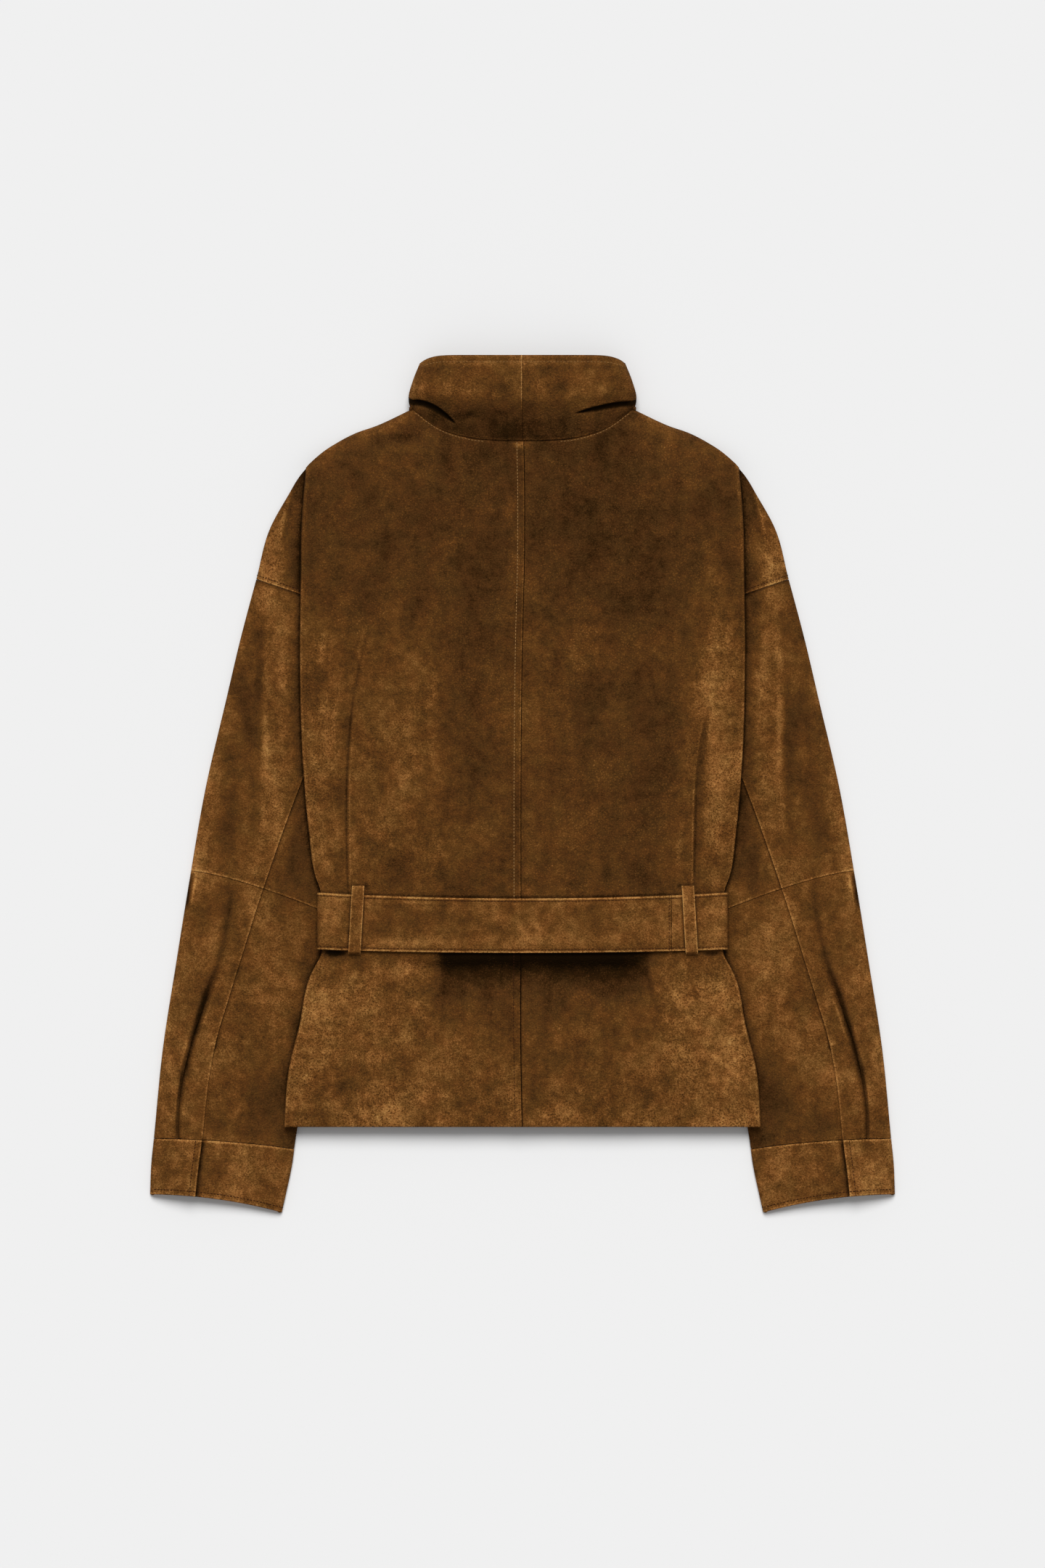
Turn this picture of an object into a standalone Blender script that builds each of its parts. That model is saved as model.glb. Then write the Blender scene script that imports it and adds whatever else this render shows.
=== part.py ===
"""A belted suede jacket with a funnel collar and a short peplum, laid face down on a surface.

Millimetres are used throughout and turned to metres when a mesh is made. X runs across the jacket, with
the wearer's right at +X, Y runs from the hem to the collar and Z is up from the surface. The origin is
the middle of the jacket's box, on the surface. The right half is worked out and mirrored by a side sign.
"""

import bpy
import bmesh
import numpy as np

MM = 0.001

# Driving dimensions
SHELL = 1.4  # one layer of suede
DOUBLE = 2.3  # two layers turned and stitched: collar and belt
CUFF_WALL = 2.0  # the cuff's two layers, pressed
SEAM = 0.3  # space between two pieces along a seam
LAY = 0.9  # space between layers that lie on each other
HEM_Y = -306.8
CROTCH_Y = 130.0  # the tuck under the back runs from here up to the shoulder
ARMSCYE_Y = 183.1  # where the armhole seam reaches the outer edge
TUCK_TOP_Y = 277.0
SHOULDER_TIP_X = 194.0  # where the side fold meets the shoulder seam
NECK_X, NECK_Y = 98.8, 335.4  # where the shoulder seam meets the collar
COLLAR_TOP_Y = 383.4
FRONT_LAP = 15.0  # how far each front reaches past the centre
BELT_MID_Y = -122.6
WAIST_HOLLOW = 5.5  # depth of the hollow in the back just below the belt
BELT_JOIN_X = 133.0
BELT_ROOM = DOUBLE + 1.5  # between the sleeve's clearance and the front, where the belt runs
RAMP = 14.0  # how far inside the sleeve the layers above it begin to rise
EDGE = 4.6  # height of a sleeve just inside its folded edges
BAND_EDGE_Z = 2.1  # height at which the back's shoulder edge ends, over the front panel

BODY_SIDE = (  # y, x of the side fold
    (-306.8, 213.5),
    (-256.0, 209.4),
    (-216.0, 199.8),
    (-168.0, 188.5),
    (-154.0, 180.8),
    (-122.0, 180.0),
    (-101.0, 180.0),
    (-94.0, 181.2),
    (-82.0, 185.5),
    (-44.0, 191.0),
    (1.0, 195.3),
    (114.0, 199.2),
    (182.0, 198.4),
    (235.0, 197.5),
    (281.5, 194.0),
)
BACK_HEIGHT = (  # y, height of the back's outer face along the middle
    (-306.8, 15.5),
    (-250.0, 18.5),
    (-185.0, 18.0),
    (-148.0, 19.0),
    (-98.0, 20.0),
    (-60.0, 22.5),
    (60.0, 24.5),
    (220.0, 24.0),
    (300.0, 21.0),
    (336.0, 20.0),
)
ARM = (  # y, outer edge x, inner edge x, height: cuff, sleeve and then the shoulder tuck
    (-383.5, 334.2, 215.5, 12.5),
    (-367.3, 333.5, 211.9, 12.5),
    (-341.3, 332.5, 206.4, 12.5),
    (-315.3, 329.9, 202.8, 12.5),
    (-237.3, 322.1, 184.0, 13.0),
    (-159.3, 310.0, 154.0, 14.0),
    (-81.3, 297.4, 128.0, 14.5),
    (-3.3, 283.7, 107.0, 15.0),
    (74.8, 265.5, 90.0, 15.0),
    (CROTCH_Y, 252.5, 84.0, 15.0),
    (ARMSCYE_Y, 238.4, 120.0, 15.0),
    (230.8, 225.2, 153.5, 15.0),
    (256.8, 211.6, 171.5, 15.0),
    (277.0, 199.8, 185.5, 15.0),
    (295.8, 183.6, 178.0, 15.0),
)
SHOULDER = (  # x, y of the shoulder's outline from the collar to the top of the sleeve
    (98.8, 335.4),
    (129.7, 321.8),
    (162.8, 308.8),
    (183.6, 295.8),
    (204.4, 269.8),
    (225.2, 230.8),
    (238.4, ARMSCYE_Y),
)
SHOULDER_EDGE = (  # x, how far the back's edge stands above the front along the shoulder
    (98.8, 6.5),
    (132.0, 0.0),
    (158.0, 0.0),
    (186.0, 6.9),
    (194.0, 7.2),
)
NECK_BACK = (  # x, y of the collar seam across the back
    (0.0, 306.5),
    (23.7, 306.8),
    (50.5, 309.7),
    (75.9, 318.5),
    (98.8, 335.0),
)
NECK_FRONT = (  # x, y of the collar seam across the hidden front
    (-20.0, 246.0),
    (0.0, 245.0),
    (30.0, 250.0),
    (60.0, 270.0),
    (85.0, 302.0),
    (98.8, 335.0),
)
COLLAR_SIDE = (  # share of the collar's height, x of its side
    (0.0, 98.8),
    (0.22, 101.7),
    (0.6, 98.4),
    (1.0, 92.0),
)
COLLAR_HEIGHT = (  # share of the collar's height, how far it stands above its seam at the back
    (0.0, 0.0),
    (0.2, 2.5),
    (0.5, 8.0),
    (0.75, 8.5),
    (1.0, 6.0),
)
SLEEVE = (  # station, y at the outer edge, y at the inner edge, bow of the line between, back seam share
    ("armscye", ARMSCYE_Y, CROTCH_Y, 1.0, 0.62),
    ("elbow", -77.8, -129.0, 1.35, 0.39),
    ("wrist", -317.2, -326.6, 2.0, 0.35),
    ("cuff end", -367.3, -383.5, 2.0, 0.35),
)
SLEEVE_PLEAT = (  # share of the forearm, share of the width, lift of the pleat's top, step down, depth
    (0.0, 0.29, 0.0, 0.0, 0.0),
    (0.15, 0.268, 0.3, 0.8, 0.0),
    (0.3, 0.243, 1.0, 2.4, 0.0),
    (0.45, 0.222, 2.0, 4.1, 0.0),
    (0.6, 0.205, 2.2, 4.1, 3.0),
    (0.8, 0.185, 2.2, 4.1, 8.0),
    (1.0, 0.165, 1.5, 4.1, 11.0),
)
PLEAT_STEP = (  # soft step: mm out, share of height; fold: mm out, share of the depth, share of height
    (-6.0, 0.0, -4.0, 0.0, 0.0),
    (-3.0, 0.05, -0.2, 1.0, 0.0),
    (-2.0, 0.15, 0.3, 1.0, 0.06),
    (-1.0, 0.32, -0.2, 1.0, 0.12),
    (0.0, 0.5, 1.0, 0.0, 0.12),
    (1.0, 0.68, -0.39, 0.0, 0.32),
    (2.0, 0.85, -0.39, 0.0, 0.8),
    (3.0, 0.95, 1.0, 0.0, 1.0),
    (6.0, 1.0, 1.5, 1.0, 1.0),
)
EDGE_TURN = (  # mm in from a sleeve's folded edge, height: the lower quarter of the edge
    (0.0, 2.3),
    (1.3, 0.5),
    (3.4, 0.0),
)
HIDDEN_SEAM = 0.72  # share of the width where a sleeve's two pieces meet under the arm
SLIT_START = 0.64  # share of the forearm where the sleeve's back seam opens into the slit
SLIT_LAP = 9.0  # how far the inner piece runs on under the outer one beside the slit
BELT_LIFT = (  # x, extra height of the fronts over the buckle and the doubled belt
    (-52.0, 0.0),
    (-32.0, 5.6),
    (30.0, 5.6),
    (50.0, 2.6),
    (104.0, 2.6),
    (124.0, 0.0),
)

SUEDE = (0.133, 0.054, 0.014)
SUEDE_DARK = (0.078, 0.030, 0.009)
SUEDE_LIGHT = (0.170, 0.074, 0.022)
BRASS = (0.34, 0.24, 0.11)


# Curves that the tables are read with


def ease(share):
    """A soft step from 0 to 1."""
    share = np.clip(share, 0.0, 1.0)
    return share * share * (3.0 - 2.0 * share)


def swell(share):
    """The height of a rounded edge: a quarter of a sine from 0 to 1."""
    return np.sin(0.5 * np.pi * np.clip(share, 0.0, 1.0))


def along(table, at, column=1):
    """A cubic through a table's rows, with each row's slope taken from its neighbours."""
    rows = sorted(tuple(v for v in row if not isinstance(v, str)) for row in table)
    place = np.array([row[0] for row in rows])
    value = np.array([row[column] for row in rows])
    slope = np.gradient(value, place)
    at = np.clip(at, place[0], place[-1])
    low = np.clip(np.searchsorted(place, at) - 1, 0, len(place) - 2)
    step = place[low + 1] - place[low]
    t = (at - place[low]) / step
    start = (1 + 2 * t) * (1 - t) ** 2 * value[low] + t * (1 - t) ** 2 * step * slope[low]
    return start + t * t * (3 - 2 * t) * value[low + 1] - t * t * (1 - t) * step * slope[low + 1]


def away_from(x, y, line):
    """Distance from each point to a line of (x, y) rows."""
    nearest = np.full(np.shape(x), np.inf)
    for (ax, ay), (bx, by) in zip(line, line[1:]):
        run = np.hypot(bx - ax, by - ay)
        share = np.clip(((x - ax) * (bx - ax) + (y - ay) * (by - ay)) / run**2, 0.0, 1.0)
        gap = np.hypot(x - ax - share * (bx - ax), y - ay - share * (by - ay))
        nearest = np.minimum(nearest, gap)
    return nearest


# Heights that neighbouring pieces share


def arm_top(x, y):
    """Outer face of the sleeve and of the shoulder tuck: low at both folded edges and full between."""
    inner = swell((x - along(ARM, y, 2)) / 110.0)
    outer = swell((along(ARM, y, 1) - x) / 45.0)
    return EDGE + (along(ARM, y, 3) - EDGE) * inner * outer


def cap_top(x, y):
    """Outer face of the shoulder cap: the arm's, coming down along the shoulder to meet the front."""
    edge = BAND_EDGE_Z + 1.5
    return edge + (arm_top(x, y) - edge) * ease((along(ARM, y, 1) - x) / 12.0)


def belt_band(y):
    """1 where the belt crosses the body, 0 away from it."""
    return ease((y + 180.0) / 26.0) * ease((-66.0 - y) / 26.0)


def over_arm(x, y):
    """Lowest height clear of the sleeve: on the surface inside its inner edge, above its top beyond."""
    ramp = ease((x - along(ARM, y, 2) + RAMP) / (RAMP - 1.5))
    return ramp * (arm_top(x, y) + LAY)


def front_low(x, y):
    """Outer, lower face of the fronts: on the surface, raised over the sleeve, belt and collar seam."""
    under_flap = np.where(y < CROTCH_Y + 0.1, over_arm(x, y), 0.0)
    belt = belt_band(y) * BELT_ROOM
    at_neck = 7.2 * ease(1.0 - np.hypot(x - NECK_X, y - NECK_Y) / 42.0)
    seam_rise = (along(SHOULDER_EDGE, x) + 0.8) * ease((SHOULDER_TIP_X - 2.0 - x) / 4.0)
    at_shoulder = seam_rise * ease(1.0 - away_from(x, y, SHOULDER[:4]) / 8.0)
    return under_flap + belt + np.maximum(at_neck, at_shoulder)


def back_top(x, y):
    """Outer face of the back: flat in the middle, rounded to the shoulder, hollowed below the belt."""
    side = along(BODY_SIDE, y)
    full = along(BACK_HEIGHT, y) * (1.0 - 0.08 * (x / side) ** 2)
    hollow = ease((y + 200.0) / 36.0) * ease((-154.0 - y) / 12.0) * ease((118.0 - np.abs(x)) / 30.0)
    full = full - WAIST_HOLLOW * hollow
    edge = BAND_EDGE_Z + 1.4 + along(SHOULDER_EDGE, x)
    inside = np.clip(away_from(x, y, SHOULDER[:4] + ((SHOULDER_TIP_X, 285.0),)) / 48.0, 0.0, 1.0)
    return edge + (full - edge) * np.sqrt(1.0 - (1.0 - inside) ** 2)


def belt_y(x, share):
    """Y across the belt, from its lower edge at 0 to its upper edge at 1. It sags at the middle."""
    out = (x / 184.0) ** 2
    low = -151.0 + 3.0 * out
    high = -102.3 + 5.1 * out
    return low + share * (high - low)


# Making the meshes


def material(name, colour, roughness, metallic=0.0):
    made = bpy.data.materials.get(name)
    if made is None:
        made = bpy.data.materials.new(name)
        made.use_nodes = True
        shader = made.node_tree.nodes["Principled BSDF"]
        shader.inputs["Base Color"].default_value = (*colour, 1.0)
        shader.inputs["Roughness"].default_value = roughness
        shader.inputs["Metallic"].default_value = metallic
        made.diffuse_color = (*colour, 1.0)
    return made


def grid_quads(first, rows, columns, flip):
    """Corner numbers of a grid's faces, rows going up and columns going out."""
    number = first + np.arange(rows * columns).reshape(rows, columns)
    quads = np.stack([number[:-1, :-1], number[:-1, 1:], number[1:, 1:], number[1:, :-1]], axis=-1)
    quads = quads.reshape(-1, 4)
    return quads[:, ::-1] if flip else quads


def cloth(name, grids, side, wall, look, flip=False):
    """One piece of cloth: grids of points on its outer face, joined where they meet, with a wall inside.

    The grids are worked out for the right half. A left piece is mirrored, which turns its faces round.
    """
    points, faces, first = [], [], 0
    turned = flip != (side < 0)
    for grid in grids:
        rows, columns, _ = grid.shape
        points.append(grid.reshape(-1, 3) * (side, 1.0, 1.0))
        faces.extend(grid_quads(first, rows, columns, turned).tolist())
        first += rows * columns
    mesh = bpy.data.meshes.new(name)
    mesh.from_pydata((np.concatenate(points) * MM).tolist(), [], faces)
    shaped = bmesh.new()
    shaped.from_mesh(mesh)
    bmesh.ops.remove_doubles(shaped, verts=shaped.verts, dist=0.00005)
    shaped.to_mesh(mesh)
    shaped.free()
    mesh.shade_smooth()
    mesh.materials.append(look)
    piece = bpy.data.objects.new(name, mesh)
    jacket.objects.link(piece)
    shell = piece.modifiers.new("Wall", "SOLIDIFY")
    shell.thickness = wall * MM
    shell.offset = -1.0
    shell.use_even_offset = True
    return piece


def join_points(x, y, z):
    """Stacks three arrays of one shape into a grid of points."""
    x, y, z = np.broadcast_arrays(x, y, z)
    return np.stack([x, y, z], axis=-1)


# Back panels: the main sheet, its roll at the side, the tuck and the shoulder cap


ROWS_BELOW = np.array([HEM_Y, -262, -218, -182, -164, -154, -122, -96, -80, -42, 24, 80, CROTCH_Y])
ROWS_ABOVE = np.array([0.3, 0.6, 0.83, 0.94, 0.998])  # shares from the tuck's foot to the seam
BACK_COLUMNS = np.array([0.0, 0.17, 0.34, 0.51, 0.64, 0.78, 0.9, 0.97])
ROLL_OUT = np.cos(np.radians([90.0, 52.0, 10.0]))  # the last step of the roll is upright, at the seam
ROLL_UP = np.sin(np.radians([90.0, 52.0, 20.0]))
UNDER_TURN = np.radians([-30.0, -62.0, -90.0])  # above the crotch the roll goes on under the back
UNDER_SHARES = np.array([0.25, 0.5, 0.75, 0.95])  # from the roll in to the tuck's fold
CAP_SHARES = np.array([0.06, 0.25, 0.5, 0.72, 0.88, 0.97, 0.998])  # from the fold out to the shoulder


def side_roll(y):
    """x and height of the middle of the body's side roll, and its radius, for each row."""
    edge = along(BODY_SIDE, y)
    low = np.where(y < CROTCH_Y, front_low(edge - 3.0, y), arm_top(edge - 3.0, y) + LAY)
    top = back_top(edge - 4.0, y)
    radius = np.maximum((top - low) / 2.0, 1.7)
    return edge - radius, top - radius, radius


def back_side_y():
    """Y of the back's rows along the side roll, from the hem to the tip of the shoulder."""
    tip_y = np.interp(SHOULDER_TIP_X, *np.array(SHOULDER).T)
    return np.concatenate([ROWS_BELOW, CROTCH_Y + ROWS_ABOVE * (tip_y - CROTCH_Y)])


def back_sheet():
    """The part that shows, from the centre seam out and over the side roll to the side seam."""
    seam_x = BACK_COLUMNS * SHOULDER_TIP_X
    shoulder_y = np.interp(seam_x, *np.array(SHOULDER).T)
    seam_y = np.where(seam_x < NECK_X, along(NECK_BACK, seam_x), shoulder_y)
    below = ROWS_BELOW[:, None] + 0.0 * seam_y
    y = np.concatenate([below, CROTCH_Y + ROWS_ABOVE[:, None] * (seam_y - CROTCH_Y)])
    side_y = back_side_y()[:, None]
    middle, height, radius = side_roll(side_y)
    x = SEAM / 2.0 + (middle - SEAM / 2.0) * BACK_COLUMNS / BACK_COLUMNS[-1]
    sheet = join_points(x, y, back_top(x, y))[:, :-1]
    roll = join_points(middle + radius * ROLL_OUT, side_y, height + radius * ROLL_UP)
    seam = join_points(middle + radius * ROLL_OUT[-1], side_y, height + SEAM / 2.0)
    return np.concatenate([sheet, roll, seam], axis=1)


def back_tuck(first):
    """The tuck above the crotch: from the side roll in to its fold, and out again as the shoulder cap."""
    side_y = back_side_y()[len(ROWS_BELOW) - 1 :, None]
    middle, height, radius = side_roll(side_y)
    up = (side_y - CROTCH_Y) / (side_y[-1] - CROTCH_Y)
    y = side_y + SEAM / 2.0 * (1.0 - up)
    roll = join_points(middle + radius * np.cos(UNDER_TURN), y, height + radius * np.sin(UNDER_TURN))
    fold_y = CROTCH_Y + SEAM / 2.0 + up * (TUCK_TOP_Y + 1.0 - CROTCH_Y)
    fold_x = along(ARM, fold_y, 2)
    under_x = middle + UNDER_SHARES * (fold_x - middle)
    under_y = y + UNDER_SHARES * (fold_y - y)
    under = join_points(under_x, under_y, arm_top(under_x, under_y) + LAY)
    fold_z = arm_top(fold_x, fold_y) + LAY * np.array([0.7, 0.3])
    fold = join_points(fold_x - 0.4, fold_y, fold_z)
    edge_y = ARMSCYE_Y + SEAM / 2.0 + up * (TUCK_TOP_Y + 3.0 - ARMSCYE_Y)
    edge_x = along(ARM, edge_y, 1)
    cap_x = fold_x + CAP_SHARES * (edge_x - fold_x)
    cap_y = fold_y + CAP_SHARES * (edge_y - fold_y)
    cap = join_points(cap_x, cap_y, cap_top(cap_x, cap_y))
    rim = join_points(edge_x, edge_y, BAND_EDGE_Z)
    return np.concatenate([first, roll, under, fold, cap, rim], axis=1)


def back_panel(side, name, look):
    sheet = back_sheet()
    tuck = back_tuck(sheet[len(ROWS_BELOW) - 1 :, -1:])
    cloth(name, [sheet, tuck], side, SHELL, look)


# Front panels: flat on the surface, with a flap that rises over the sleeve to the side seam


LAP_COLUMNS = np.array([-FRONT_LAP, 1.0])
LAP_FOOT = 17.0  # where the left front, which lies over the right one, comes down to the surface
FRONT_COLUMNS = np.array([0.0, 0.3, 0.55, 0.8, 1.0])  # from the lap's foot to the flap's foot
FRONT_ROWS_UP = np.array([0.33, 0.66, 0.93, 1.0])  # shares from the crotch to the neck and shoulder seams
SHOULDER_COLUMNS = np.array([0.0, 0.26, 0.53, 0.76, 0.89, 0.93, 1.0])


def front_height(x, y, side):
    """The front's lower face with the lap at the centre and the room over the buckle."""
    room = belt_band(y) * along(BELT_LIFT, x * side)
    lap = (SHELL + 0.8) * ease((LAP_FOOT + 2.0 - x) / 2.0) if side < 0 else 0.0
    return front_low(x, y) + room + lap


def front_foot(y):
    """x where the front leaves the surface to rise over the sleeve."""
    return np.minimum(along(ARM, y, 2) - RAMP, 0.93 * along(BODY_SIDE, y))


def front_sheet():
    """x and y of the part between the centre and the flap, from the hem to the neck seam."""
    y = ROWS_BELOW[:, None] - SEAM / 2.0 * (ROWS_BELOW[:, None] == CROTCH_Y)
    x = LAP_FOOT + (front_foot(y) - LAP_FOOT) * FRONT_COLUMNS
    x = np.concatenate([LAP_COLUMNS + 0.0 * y, x], axis=1)
    y = y + 0.0 * x
    neck_x = np.concatenate([LAP_COLUMNS, LAP_FOOT + (NECK_X - 2.0 - LAP_FOOT) * FRONT_COLUMNS])
    up = FRONT_ROWS_UP[:, None]
    up_x = x[-1] + up * (neck_x - x[-1])
    up_y = y[-1] + up * (along(NECK_FRONT, neck_x) - y[-1])
    return np.concatenate([x, up_x]), np.concatenate([y, up_y])


def front_flap(y, side):
    """The flap over the sleeve and round the lower half of the side roll to the side seam."""
    middle, height, radius = side_roll(y)
    foot = front_foot(y)
    edge = np.minimum(along(ARM, y, 2), middle - 4.0)
    ramp = foot + np.array([0.0, 0.28, 0.6, 1.0]) * (edge - foot)
    x = np.concatenate([ramp, edge + np.array([0.25, 0.5, 0.75]) * (middle - edge)], axis=1)
    flap = join_points(x, y, front_height(x, y + 0.0 * x, side))
    roll = join_points(middle + radius * ROLL_OUT, y, height - radius * ROLL_UP)
    seam = join_points(middle + radius * ROLL_OUT[-1], y, height - SEAM / 2.0)
    return np.concatenate([flap, roll, seam], axis=1)


def front_shoulder(start_x, start_y, side):
    """The part between the armhole and the shoulder seam, from the sheet out to the shoulder."""
    up = np.concatenate([[0.0], FRONT_ROWS_UP])[:, None]
    end_y = ARMSCYE_Y + SEAM / 2.0 + up * (TUCK_TOP_Y + 10.0 - ARMSCYE_Y)
    x = start_x + SHOULDER_COLUMNS * (along(ARM, end_y, 1) - start_x)
    y = start_y + SHOULDER_COLUMNS * (end_y - start_y)
    to_seam = np.interp(x[-1], *np.array(SHOULDER).T) - y[-1]
    to_armhole = np.maximum(armhole_y(x[0]) + SEAM / 2.0 - y[0], 0.0)
    y[:, 1:] += (up**2 * to_seam + (1.0 - up) ** 2 * to_armhole)[:, 1:]
    return join_points(x, y, front_height(x, y, side))


def front_panel(side, name, look):
    x, y = front_sheet()
    sheet = join_points(x, y, front_height(x, y, side))
    rows = len(ROWS_BELOW)
    flap = front_flap(y[:rows, -1:], side)
    shoulder = front_shoulder(x[rows - 1 :, -1:], y[rows - 1 :, -1:], side)
    cloth(name, [sheet, flap, shoulder], side, SHELL, look, flip=True)


# Sleeves: a flattened tube cut by the elbow seam, the back seam and a hidden seam below


def station(name):
    return next(row for row in SLEEVE if row[0] == name)


def sleeve_y(top, bottom, down, share):
    """Y of a line across the sleeve, between two stations, at a share of the width from the outer edge."""
    _, out_a, in_a, bow_a, _ = station(top)
    _, out_b, in_b, bow_b, _ = station(bottom)
    outer = out_a + down * (out_b - out_a)
    inner = in_a + down * (in_b - in_a)
    bow = bow_a + down * (bow_b - bow_a)
    return outer + (inner - outer) * share**bow


def armhole_y(x):
    """Y of the armhole seam at an x, from the crotch of the arm out to the shoulder's edge."""
    outer_x = along(ARM, ARMSCYE_Y, 1)
    inner_x = along(ARM, CROTCH_Y, 2)
    return ARMSCYE_Y + (CROTCH_Y - ARMSCYE_Y) * np.clip((outer_x - x) / (outer_x - inner_x), 0.0, 1.0)


def sleeve_point(top, bottom, down, share):
    """x and y at a share of the sleeve's width from its outer edge. Both edges lie on the outline."""
    y_out = sleeve_y(top, bottom, down, 0.0 * share)
    y_in = sleeve_y(top, bottom, down, 0.0 * share + 1.0)
    x_out = along(ARM, y_out, 1)
    x_in = along(ARM, y_in, 2)
    return x_out + share * (x_in - x_out), sleeve_y(top, bottom, down, share)


def sleeve_width(top, bottom, down):
    """Width of the flattened sleeve along each row."""
    outer_x, outer_y = sleeve_point(top, bottom, down, np.zeros_like(down))
    inner_x, inner_y = sleeve_point(top, bottom, down, np.ones_like(down))
    return np.hypot(inner_x - outer_x, inner_y - outer_y)


def pleat(down, width):
    """Shares across and lifts of the step: a trough near the elbow that turns into a knife pleat."""
    place, lift, step, depth = (along(SLEEVE_PLEAT, down, column)[:, None] for column in (1, 2, 3, 4))
    soft_out, soft_height, fold_out, fold_depth, fold_height = np.array(PLEAT_STEP).T
    folded = ease((down - 0.42) / 0.14)[:, None]
    out = soft_out + folded * (fold_out + fold_depth * depth - soft_out)
    height = soft_height + folded * (fold_height - soft_height)
    return place - out / width[:, None], lift + step * (height - 1.0)


def turned_edge(width):
    """Shares in from a folded edge and heights of its lower quarter, from the edge down to the surface."""
    inward, height = np.array(EDGE_TURN).T
    return inward / width[:, None], height + 0.0 * width[:, None]


def sleeve_outer(side, name, look, levels, down):
    """The outer piece: from the back seam over the outer edge and on under the arm to the hidden seam."""
    rows = down[:, None]
    width = sleeve_width(*levels, down)
    gap = SEAM / 2.0 / width[:, None]
    seam = station(levels[0])[4] + rows * (station(levels[1])[4] - station(levels[0])[4])
    if levels[1] == "wrist":
        step, step_lift = pleat(down, width)
        before = np.concatenate([seam - gap, step[:, :1] + 8.0 / width[:, None]], axis=1)
        after = step[:, -1:] * np.array([0.7, 0.4, 0.12])
        share = np.concatenate([before, step, after], axis=1)
        lift = [0.0 * before, step_lift, step_lift[:, -1:] * np.array([0.78, 0.35, 0.04])]
        lift = np.concatenate(lift, axis=1)
    else:
        share = (seam - gap) * np.array([1.0, 0.78, 0.55, 0.35, 0.2, 0.09, 0.025])
        lift = 0.0 * share
    x, y = sleeve_point(*levels, rows, share)
    over = join_points(x, y, arm_top(x, y) + lift)
    turn, turn_z = turned_edge(width)
    share = np.concatenate([turn, np.array([0.25, 0.5]) + 0.0 * rows, HIDDEN_SEAM - gap], axis=1)
    z = np.concatenate([turn_z, np.zeros((len(down), 3))], axis=1)
    x, y = sleeve_point(*levels, rows, share)
    grid = np.concatenate([over, join_points(x, y, z)], axis=1)
    cloth(name, [grid], side, SHELL, look, flip=True)


def sleeve_inner(side, name, look, levels, down):
    """The inner piece: from the back seam over the inner edge to the hidden seam.

    Beside the slit it runs on under the outer piece.
    """
    rows = down[:, None]
    width = sleeve_width(*levels, down)
    gap = SEAM / 2.0 / width[:, None]
    seam = station(levels[0])[4] + rows * (station(levels[1])[4] - station(levels[0])[4])
    has_slit = levels[1] == "wrist"
    slip = ease((rows - SLIT_START) / 0.07) * has_slit
    sink = ease((rows - SLIT_START + 0.08) / 0.08) * has_slit
    end = seam + gap - slip * SLIT_LAP / width[:, None]
    bend = seam + (1.5 - slip) / width[:, None]
    full = seam + 6.0 / width[:, None]
    share = [end, bend, full, full + (1.0 - full) * np.array([0.25, 0.5, 0.75, 0.92, 0.985])]
    share = np.concatenate(share, axis=1)
    x, y = sleeve_point(*levels, rows, share)
    z = arm_top(x, y)
    z[:, :2] -= sink * (SHELL + 0.8)
    over = join_points(x, y, z)
    turn, turn_z = turned_edge(width)
    share = np.concatenate([1.0 - turn, 0.86 + 0.0 * rows, HIDDEN_SEAM + gap], axis=1)
    z = np.concatenate([turn_z, np.zeros((len(down), 2))], axis=1)
    x, y = sleeve_point(*levels, rows, share)
    grid = np.concatenate([over, join_points(x, y, z)], axis=1)
    cloth(name, [grid], side, SHELL, look)


CUFF_LAP = 0.345  # share of the width where the cuff's upper end lies
CUFF_SECTION = (  # share of the width, mm added to it, height: None is the arm's own, mm added to that
    (CUFF_LAP, 0.0, None, 1.6),
    (0.26, 0.0, None, 1.6),
    (0.14, 0.0, None, 1.4),
    (0.05, 0.0, None, 0.8),
    (0.018, 0.0, None, 0.3),
    (0.0, 0.0, 2.6, 0.0),
    (0.0, 1.6, 0.6, 0.0),
    (0.0, 4.4, 0.0, 0.0),
    (0.2, 0.0, 0.0, 0.0),
    (0.5, 0.0, 0.0, 0.0),
    (0.8, 0.0, 0.0, 0.0),
    (1.0, -4.4, 0.0, 0.0),
    (1.0, -1.6, 0.6, 0.0),
    (1.0, 0.0, 2.6, 0.0),
    (0.985, 0.0, None, 0.3),
    (0.93, 0.0, None, 0.8),
    (0.8, 0.0, None, 0.6),
    (0.62, 0.0, None, 0.0),
    (0.44, 0.0, None, -0.4),
    (CUFF_LAP + 0.015, 0.0, None, -1.6),
    (CUFF_LAP - 0.02, 0.0, None, -2.0),
    (0.2, 0.0, None, -2.0),
)


def cuff(side, name, look):
    """The cuff: one band round the wrist, its upper end lapped over its lower end beside the slit."""
    down = np.array([0.006, 0.35, 0.7, 1.0])
    width = sleeve_width("wrist", "cuff end", down)[:, None]
    place = np.array([row[0] for row in CUFF_SECTION])
    shift = np.array([row[1] for row in CUFF_SECTION])
    share = place + shift / width
    x, y = sleeve_point("wrist", "cuff end", down[:, None], share)
    on_arm = np.array([row[2] is None for row in CUFF_SECTION])
    height = np.array([row[2] or 0.0 for row in CUFF_SECTION])
    lift = np.array([row[3] for row in CUFF_SECTION])
    z = np.where(on_arm, arm_top(x, y) + lift, height)
    cloth(name, [join_points(x, y, z)], side, CUFF_WALL, look, flip=True)


# Collar: a flattened funnel in two halves, open at both ends


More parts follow.
